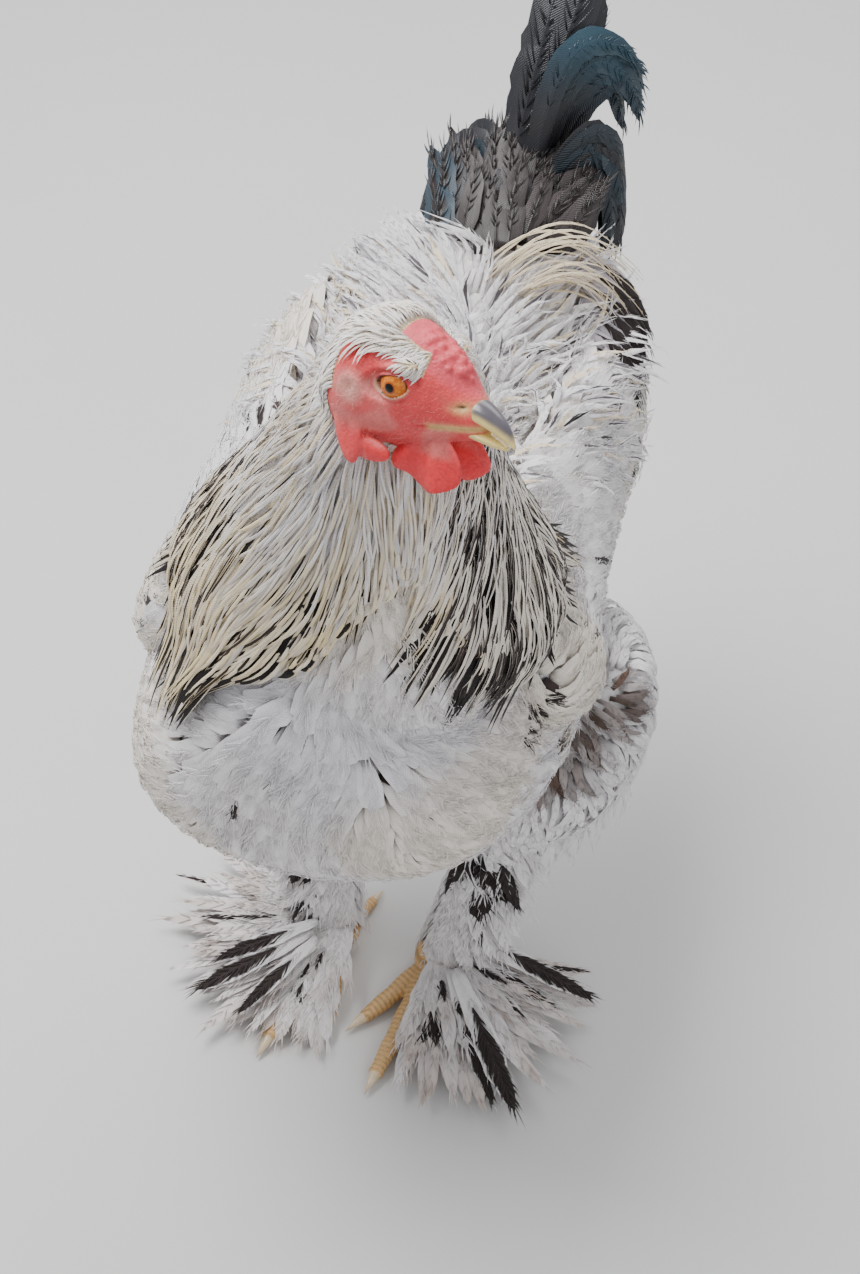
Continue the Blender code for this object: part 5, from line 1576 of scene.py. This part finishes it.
def quills(tree, key, side, material):
    """Primaries and secondaries, one over the other along the lower edge of the wing."""
    starts, lengths, ways = [], [], []
    for k in range(16):
        share = k / 15
        starts.append((side * 0.150, -0.020 + 0.125 * share, 0.340 + 0.024 * share))
        lengths.append(0.076 + 0.044 * share)
        ways.append(Vector((0, 1, -0.62 + 0.60 * share)))
    spines, ups = [], []
    for k, (start, length, way) in enumerate(zip(starts, lengths, ways)):
        lifts = (0.2, 1.0, 1.0, 1.0, 1.0, 1.0, 0.9)
        spring = np.array([0.0035 + 0.0004 * k])
        spine, up = lay(tree, [start], lambda _, n, w=way: w, [length], lifts, 0.0, spring)
        spines.append(spine[0])
        ups.append(up[0])
    spines, ups = np.array(spines), np.array(ups)
    many, count = spines.shape[:2]
    ground = tinted(WHITE, many, count, 0.03)
    mark = np.tile(DARK, (many, 1))
    width = np.where(np.arange(many) % 3 == 0, 0.5, 0.0)[:, None] * np.linspace(0.0, 1.0, count)
    halves = np.full(many, 0.0095)[:, None] * outline(count, 0.6, 0.7, 0.45)
    feathers("quills_" + key, spines, ups, halves, ground, mark, width, material, "wing_plumage", thick=0.0008)


def curve(root, way, bend, length, count):
    share = np.linspace(0, 1, count)[:, None]
    return root + unit(np.asarray(way, float)) * length * share + np.asarray(bend, float) * length * share**2


def through(root, middle, tip):
    """The way, bend and length of a curve from a root through a middle point to a tip."""
    root = np.asarray(root, float)
    middle, tip = np.asarray(middle, float) - root, np.asarray(tip, float) - root
    start = 4 * middle - tip
    length = float(np.linalg.norm(start))
    return start, (2 * tip - 4 * middle) / length, length


def free_feathers(name, specs, count, material, slot, colour_at, thick=0.0008, camber=0.18,
                  shape=(0.5, 0.6, 0.5), barbed=0, low=0.25, forward=1.8, reaches=(0.75, 1.30)):
    """Feathers that stand off the skin. Each spec is root, way, bend, facing, length, half width."""
    spines = np.array([curve(root, way, bend, length, count) for root, way, bend, _, length, _ in specs])
    spines[..., 2] = np.maximum(spines[..., 2], 0.0062)
    along = unit(np.gradient(spines, axis=1))
    facing = unit(np.array([spec[3] for spec in specs], float))[:, None]
    ups = unit(facing - along * (facing * along).sum(axis=2, keepdims=True))
    halves = np.array([spec[5] for spec in specs])[:, None] * outline(count, *shape)
    ground, mark, width = colour_at(spines)
    feathers(name, spines, ups, halves, ground, mark, width, material, slot, thick, camber, 0.07)
    if barbed:
        barbs(
            name + "_barbs", spines[:, 0], spines, ups, halves, ground, mark, width, material, slot, barbed,
            low, forward, reaches=reaches,
        )


def sickle_colours(spines):
    return tail_colours(spines, 0.055, 0.105)


def tail_colours(spines, start=0.12, full=0.26):
    """Black, with a green-blue sheen that grows between two distances from the tail's root."""
    many, count = spines.shape[:2]
    ground = tinted(TAIL_BLACK, many, count, 0.15)
    sheen_share = smooth_step(start, full, np.linalg.norm(spines - TAIL_BASE, axis=2))
    sheen_share = (sheen_share * RNG.uniform(0.45, 1.0, (many, 1)))[..., None]
    return ground * (1 - sheen_share) + TAIL_SHEEN_BLUE * sheen_share, np.zeros((many, 3)), np.zeros((many, count))


def brown_colours(spines):
    many, count = spines.shape[:2]
    ground = tinted(BROWN * 0.22 + TAIL_BLACK * 0.8, many, count, 0.25)
    # Painted sheen: the feathers on the right take the tail's blue-green sheen.
    right = smooth_step(-0.012, -0.028, spines[:, :1, :1])
    ground = ground * (1 - right) + (TAIL_SHEEN_BLUE * 0.5 + TAIL_BLACK) * right
    return ground, np.tile(DARK, (many, 1)), np.full((many, count), 0.45)


def build_tail(material):
    """A broad raised feather over shorter ones, sickles that arch to the left, and their coverts."""
    build_rectrices(material)
    build_sickles(material)
    build_drape(material)
    build_tail_front(material)


def build_rectrices(material):
    """The stiff feathers of the folded tail, nearly in one upright plane that leans to the left."""
    rectrices = []
    for side in (1, -1):
        for k in range(7):
            share = k / 6
            raised = math.radians(68 - 44 * share)
            splay = math.radians(9 + 2 * share if side > 0 else 5 - 7 * share)
            way = (math.sin(splay), math.cos(raised), math.sin(raised))
            root = TAIL_BASE + np.array((side * (0.003 + 0.0014 * k), 0.004 * k, -0.0045 * k))
            facing = (side * (0.10 + 0.16 * k), -0.90 + 0.11 * k, 0.45)
            length = (0.182, 0.152, 0.138, 0.126, 0.115, 0.104, 0.094)[k] - (0.030 if side < 0 else 0.0)
            rectrices.append((root, way, (0.02, 0.10, -0.06), facing, length, 0.0128))
    free_feathers(
        "rectrices", rectrices, 16, material, "tail_plumage", tail_colours, 0.0009, 0.15, (0.45, 0.72, 0.42),
        18, 0.25, 1.2, (0.55, 0.92),
    )


def build_sickles(material):
    """Arching teal feathers: the main ones high on the left, shorter ones low on the right."""
    sickles = []
    for side in (1, -1):
        for k in range(8):
            share = k / 7
            root = np.array((side * 0.010 + 0.009, 0.246 + 0.003 * k, 0.444 - 0.002 * k))
            middle = np.array((0.034 + 0.016 * share, 0.274 + 0.014 * share, 0.516 - 0.022 * share))
            tip = np.array((0.074 - 0.004 * share, 0.310 - 0.012 * share, 0.494 - 0.034 * share))
            if side < 0:
                middle = np.array((-0.018 - 0.010 * share, 0.266, 0.458 - 0.010 * share))
                tip = np.array((-0.036 - 0.006 * share, 0.270 - 0.02 * share, 0.404 - 0.025 * share))
            jog = RNG.normal(0, 0.0025, 3)
            way, bend, length = through(root, middle + jog, tip + 2 * jog)
            sickles.append((root, way, bend, (side * 0.5, -0.7, 0.5), length, RNG.uniform(0.0075, 0.0100)))
    free_feathers(
        "sickles", sickles, 16, material, "tail_plumage", sickle_colours, 0.0009, 0.20, (0.6, 0.5, 0.5),
        18, 0.25, 1.2, (0.55, 0.95),
    )


def build_drape(material):
    """Black coverts that hang over both sides of the rump."""
    drape = []
    for side in (1, -1):
        for k in range(22):
            share = (k % 11) / 10
            root = np.array((0.007 + side * (0.016 + 0.016 * share), 0.243, 0.446 - 0.012 * share))
            middle = np.array((0.054 + 0.008 * share, 0.262, 0.482 - 0.036 * share))
            tip = np.array((0.066 + 0.004 * share, 0.262 - 0.012 * share, 0.430 - 0.032 * share))
            if side < 0:
                middle = np.array((0.036 - middle[0], middle[1] - 0.004, middle[2] - 0.024))
                tip = np.array((0.030 - tip[0], tip[1], tip[2] - 0.012))
            jog = RNG.normal(0, 0.003, 3)
            way, bend, length = through(root, middle + jog, tip + 1.5 * jog)
            drape.append((root, way, bend, (side * 0.8, -0.6, 0.45), length, RNG.uniform(0.0055, 0.0080)))
    free_feathers(
        "tail_coverts", drape, 11, material, "tail_plumage", drape_colours, barbed=8, forward=1.4,
        reaches=(0.55, 1.0),
    )


def build_tail_front(material):
    """Overlapping brown-black feathers from the rump up the front of the tail."""
    front = []
    for tier in range(8):
        many = 15 - tier // 2
        for k in range(many):
            first, last = -82 + 7 * tier, 82 - 3 * tier
            share = (k + 0.5 * (tier % 2)) / (many - 0.5)
            turn = math.radians(first + (last - first) * share + RNG.uniform(-5, 5))
            reach = 0.040 - 0.0022 * tier
            offset = np.array((math.sin(turn) * reach, 0.0, -0.010 * abs(math.sin(turn)) ** 2))
            root = TAIL_BASE + offset + np.array((0.002, -0.056 + 0.0085 * tier, 0.003 + 0.0010 * tier))
            root[1] += 0.018 * math.sin(turn) ** 2
            root += RNG.normal(0, 0.0022, 3)
            stray = RNG.normal(0, 0.13, 2)
            way = (math.sin(turn) * 0.25 + 0.04 + stray[0], 0.62, 0.45 + 0.05 * tier + stray[1])
            bend = (math.sin(turn) * 0.10, 0.18, -0.10 - 0.6 * stray[1])
            facing = (math.sin(turn) * 0.7, -0.75, 0.75)
            length = (0.048 - 0.0016 * tier) * RNG.uniform(0.75, 1.15)
            front.append((root, way, bend, facing, length, RNG.uniform(0.0060, 0.0098)))
    free_feathers(
        "tail_front", front, 8, material, "tail_plumage", brown_colours, 0.0005, 0.15, (0.6, 0.5, 0.7), 5,
        0.25, 1.3, (0.40, 0.80),
    )


def drape_colours(spines):
    many, count = spines.shape[:2]
    ground = tinted(TAIL_BLACK * 0.7, many, count, 0.2)
    # Painted sheen: some coverts carry a little of the tail's blue-green sheen.
    sheen_share = (RNG.random((many, 1, 1)) < 0.3) * RNG.uniform(0.2, 0.6, (many, 1, 1))
    return ground * (1 - sheen_share) + TAIL_SHEEN_BLUE * 0.6 * sheen_share, np.zeros((many, 3)), np.zeros((many, count))


def leg_marks(spines):
    """How far the black marks reach across each feather."""
    width = np.zeros(spines.shape[:2])
    for x, y, z, reach in LEG_MARKS:
        gap = np.linalg.norm(spines - np.array((x, y, z)), axis=2) * RNG.uniform(0.85, 1.2, (len(spines), 1))
        width = np.maximum(width, 1.1 * smooth_step(reach * 1.3, reach * 0.7, gap))
    return width


def leg_colours(spines):
    """White, with black marks at their own places, and dirty at the tips."""
    many, count = spines.shape[:2]
    ground = tinted(WHITE, many, count, 0.03)
    low = smooth_step(0.050, 0.015, spines[:, :, 2])[..., None]
    tips = np.linspace(0, 1, count)[None, :, None] ** 3 * RNG.uniform(0.1, 0.9, (many, 1, 1)) * low
    ground = ground * (1 - tips) + DIRTY * tips
    along = np.interp(np.linspace(0, 1, count), (0.3, 0.8, 1), (0, 0.6, 0.2))
    stray = (RNG.random(many) < 0.07)[:, None] * along
    return ground, np.tile(DARK * 1.3, (many, 1)), np.maximum(leg_marks(spines), stray)


def black_colours(spines):
    """Black from the middle out, with a white edge."""
    many, count = spines.shape[:2]
    ground = tinted(WHITE, many, count, 0.03)
    share = np.linspace(0, 1, count)
    width = np.interp(share, (0.0, 0.30, 0.42, 0.92, 1.0), (0.0, 0.0, 0.78, 0.86, 0.4))
    return ground, np.tile(DARK * 1.6, (many, 1)), np.broadcast_to(width, (many, count))


def build_legs(tree, skin, body_material, leg_material):
    """Fluff on the thighs, shingled feathers down the shanks and long ones on the toes."""
    points, faces = skin

    def wanted(places, normals):
        return thigh_share(places) > 0.25

    roots, _ = scatter(points, faces, wanted, 0.0045, 18000)
    drop = smooth_step(0.265, 0.200, roots[:, 2])
    lengths = (0.018 + 0.016 * drop) * RNG.uniform(0.75, 1.25, len(roots))
    spring = (0.0070 + 0.0060 * drop) * RNG.uniform(0.75, 1.2, len(roots))
    turned = 0.40 * noise_field(roots, 0.014, 81)
    spines, ups = lay(tree, roots, way_thigh, lengths, (0.1, 0.6, 0.9, 1.0, 0.95), 0.22, spring, turned)
    many, count = spines.shape[:2]
    # Painted shade: the thigh fluff is tinted with the lilac of white plumage in shade.
    ground = tinted(WHITE * 0.7 + SHADED_WHITE * 0.3, many, count, 0.03)
    # Painted shade: a brown band on the left thigh just under the breast, shaded by the belly.
    line = np.minimum(0.236 + 0.95 * (roots[:, 1] + 0.028), 0.270) + 0.004 * noise_field(roots, 0.010, 82)
    belly_shade_band = smooth_step(0.018, 0.011, np.abs(roots[:, 2] - line)) * (roots[:, 0] > 0.02)
    belly_shade_band = (belly_shade_band * smooth_step(0.034, 0.014, roots[:, 1]) * RNG.uniform(0.6, 1.0, many))[:, None, None]
    ground = ground * (1 - belly_shade_band) + BROWN * RNG.uniform(0.5, 1.3, (many, 1, 1)) * belly_shade_band
    halves = RNG.uniform(0.0016, 0.0032, many)[:, None] * outline(count, 0.7, 0.4, 0.8)
    split_by_side(
        "thigh_fluff", roots, spines, ups, halves, ground, np.tile(DARK * 1.3, (many, 1)), leg_marks(spines),
        body_material, "leg_plumage", 4, 3.0, (0.8, 1.8), 0.00034, thick=0.0003, camber=0.1,
    )
    for key, side in SIDES:
        build_thigh_fringe(key, side, body_material)
        build_boot(key, side, leg_material)
        build_toe_fan(key, side, leg_material)


def build_thigh_fringe(key, side, material):
    """Loose fluff that hangs around the lower half of the thigh."""
    hanging = []
    outward = 0.088 if side > 0 else 0.076
    for k in range(230):
        turn = math.radians(RNG.uniform(-80, 190))
        height = RNG.uniform(0.150, 0.215)
        out = np.array((side * math.sin(turn), -math.cos(turn), 0.0))
        narrow = (0.215 - height) * 0.35
        root = np.array((side * outward, 0.042, height)) + out * (RNG.uniform(0.038, 0.052) - narrow)
        aside = np.array((-out[1], out[0], 0.0)) * RNG.normal(0, 0.16)
        way = out * RNG.uniform(0.05, 0.40) + aside + np.array((0, 0.05, -1.0))
        length = (height - 0.095) * RNG.uniform(0.25, 0.80)
        bend = -out * RNG.uniform(0.0, 0.35) - aside
        hanging.append((root, way, bend, out, length, RNG.uniform(0.0012, 0.0022)))
    free_feathers(
        "thigh_fringe_" + key, hanging, 7, material, "leg_plumage", fringe_colours, 0.0003, 0.08,
        (0.6, 0.4, 0.9), 6, 0.15, 4.0, (1.0, 2.6),
    )


def fringe_colours(spines):
    many, count = spines.shape[:2]
    # Painted shade: the hanging fluff is tinted with the lilac of white plumage in shade.
    ground = tinted(WHITE * 0.75 + SHADED_WHITE * 0.25, many, count, 0.04)
    return ground, np.zeros((many, 3)), np.zeros((many, count))


def build_boot(key, side, material):
    """Feathers down the shank, the longest on its outer side."""
    hock, foot = np.array(HOCK[key]), np.array(FOOT[key])
    shank = []
    for tier in range(13):
        place = hock + (foot - hock) * (-0.08 + 0.075 * tier)
        for k in range(15):
            turn = math.radians(-50 + 22 * k + 11 * (tier % 2) + RNG.uniform(-6, 6))
            out = np.array((side * math.sin(turn), -math.cos(turn), 0.0))
            outer_side = max(math.sin(turn), 0.0)
            way = out * (0.34 + 0.42 * outer_side) + np.array((0, 0, -0.82))
            length = (0.028 + 0.016 * outer_side) * RNG.uniform(0.80, 1.12)
            length = min(length, (place[2] - 0.004) / 0.95)
            half = RNG.uniform(0.0045, 0.0062)
            shank.append((place + out * 0.0088, way, (0, 0, -0.10), out, length, half))
    free_feathers(
        "boot_" + key, shank, 7, material, "leg_plumage", leg_colours, 0.0004, 0.12, (0.5, 0.6, 0.6), 5
    )


def build_toe_fan(key, side, material):
    """Long stiff feathers from the outer side of the foot, in tiers, a few of them black."""
    foot = np.array(FOOT[key])
    tiers = (
        (15, 0.094, 0.0100), (15, 0.088, 0.0130), (14, 0.080, 0.0165), (13, 0.068, 0.0200),
        (12, 0.056, 0.0235), (11, 0.044, 0.0270),
    )
    toes = []
    for tier, (many, length, low) in enumerate(tiers):
        for k in range(many):
            angle = math.radians(8 + 102 * (k + 0.5 * (tier % 2)) / many + RNG.uniform(-3, 3))
            turn = FOOT_TURN[key] + side * angle
            way = np.array((math.sin(turn), -math.cos(turn), 0.10))
            root = np.array((foot[0], foot[1], low)) + np.array((way[0], way[1], 0)) * 0.008
            size = length * (1 + 0.12 * math.sin(math.pi * k / (many - 1))) * RNG.uniform(0.80, 1.10)
            tilt = RNG.uniform(-0.25, 0.25)
            facing = (way[1] * tilt, -way[0] * tilt, 1.0)
            bend = (RNG.normal(0, 0.05), RNG.normal(0, 0.05), -0.09)
            toes.append((root, way, bend, facing, size, RNG.uniform(0.0042, 0.0064)))
    free_feathers(
        "toe_feathers_" + key, toes, 9, material, "leg_plumage", leg_colours, 0.0004, 0.10, (0.5, 0.65, 0.6), 9
    )
    if key in COVERED_TOES:
        build_toe_cover(key, side, material)
    black = []
    for start, end, half in BLACK_TOE_FEATHERS[key]:
        way = np.array(end) - np.array(start)
        black.append((start, way, (0.0, 0.0, -0.02), (0, -0.1, 1.0), float(np.linalg.norm(way)), half))
    free_feathers(
        "black_feathers_" + key, black, 12, material, "leg_plumage", black_colours, 0.0006, 0.15,
        (0.5, 0.6, 0.6), 20, 0.2,
    )


def build_toe_cover(key, side, material):
    """Feathers that lie forward over the toes and hide them down to the claws."""
    foot, cover = np.array(FOOT[key]), []
    forward = np.array((math.sin(FOOT_TURN[key]), -math.cos(FOOT_TURN[key]), 0.0))
    aside = np.array((-forward[1], forward[0], 0.0))
    for tier in range(6):
        for k in range(10):
            across = k / 4.5 - 1
            spread_out = math.radians(26 * across + RNG.uniform(-6, 6))
            far = 0.002 + 0.0105 * tier + RNG.uniform(-0.003, 0.003)
            root = foot + forward * far + aside * (0.008 + 0.0012 * tier) * across
            root[2] = 0.031 - 0.0034 * tier - 0.004 * across * across
            way = forward * math.cos(spread_out) + aside * math.sin(spread_out) + np.array((0, 0, 0.08))
            length = RNG.uniform(0.030, 0.040)
            bend = (RNG.normal(0, 0.06), RNG.normal(0, 0.06), -0.30)
            cover.append((root, way, bend, aside * 0.4 * across + np.array((0, 0, 1.0)), length, 0.0052))
    free_feathers(
        "toe_cover_" + key, cover, 7, material, "leg_plumage", leg_colours, 0.0004, 0.12, (0.5, 0.6, 0.6), 7
    )


# Floor, light and camera


def build_stage():
    mesh = bpy.data.meshes.new("floor")
    half = 6.0
    mesh.from_pydata([(-half, -half, 0), (half, -half, 0), (half, half, 0), (-half, half, 0)], [], [(0, 1, 2, 3)])
    mesh.materials.append(floor_material())
    link("floor", mesh)
    world = bpy.data.worlds.new("sky")
    bpy.context.scene.world = world
    world.use_nodes = True
    world.node_tree.nodes["Background"].inputs["Color"].default_value = (0.93, 0.96, 1.0, 1.0)
    world.node_tree.nodes["Background"].inputs["Strength"].default_value = 0.66
    for name, place, size, power in (
        ("key", (-0.8, 0.1, 2.1), 1.2, 64.0), ("fill", (1.3, -1.4, 1.1), 1.6, 9.0), ("back", (0.5, 1.6, 1.8), 1.2, 20.0),
    ):
        light = bpy.data.lights.new(name, "AREA")
        light.size = size
        light.energy = power
        lamp = bpy.data.objects.new(name, light)
        lamp.location = place
        aim = Vector((0, 0, 0.3)) - Vector(place)
        lamp.rotation_euler = aim.to_track_quat("-Z", "Y").to_euler()
        bpy.context.scene.collection.objects.link(lamp)


def build_camera():
    back = Vector((
        math.sin(CAMERA_AZIMUTH) * math.cos(CAMERA_ELEVATION),
        -math.cos(CAMERA_AZIMUTH) * math.cos(CAMERA_ELEVATION),
        math.sin(CAMERA_ELEVATION),
    ))
    right = Vector((math.cos(CAMERA_AZIMUTH), math.sin(CAMERA_AZIMUTH), 0))
    up = back.cross(right)
    rolled_right = right * math.cos(CAMERA_ROLL) + up * math.sin(CAMERA_ROLL)
    rolled_up = up * math.cos(CAMERA_ROLL) - right * math.sin(CAMERA_ROLL)
    matrix = Matrix((rolled_right, rolled_up, back)).transposed().to_4x4()
    matrix.translation = CAMERA_PLACE - ORIGIN
    camera = bpy.data.cameras.new("camera")
    camera.sensor_fit = "VERTICAL"
    camera.sensor_height = 36.0
    camera.lens = FOCAL_PIXELS / PHOTO_HEIGHT * camera.sensor_height
    holder = bpy.data.objects.new("camera", camera)
    holder.matrix_world = matrix
    bpy.context.scene.collection.objects.link(holder)
    bpy.context.scene.camera = holder


def main():
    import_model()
    build_camera()
    build_stage()
    body, head = build_skin()
    horn = horn_material()
    build_beak(horn)
    build_eyes()
    build_claws(horn)
    points = np.concatenate([body[0], head[0]])
    faces = list(body[1]) + [tuple(len(body[0]) + i for i in face) for face in head[1]]
    tree = BVHTree.FromPolygons(points.tolist(), faces)
    body_tree = BVHTree.FromPolygons(body[0].tolist(), body[1])
    soft = plumage("body")
    build_body_coat(body_tree, body, soft)
    build_saddle(body_tree, body, soft)
    build_long_saddle(soft)
    build_wings(body_tree, body, plumage("wing"))
    build_legs(body_tree, body, soft, plumage("leg"))
    build_tail(plumage("tail"))
    build_hackle(body_tree, body, plumage("hackle"))
    build_crown(tree, head, soft)
    build_bristles(tree, head, soft)


main()
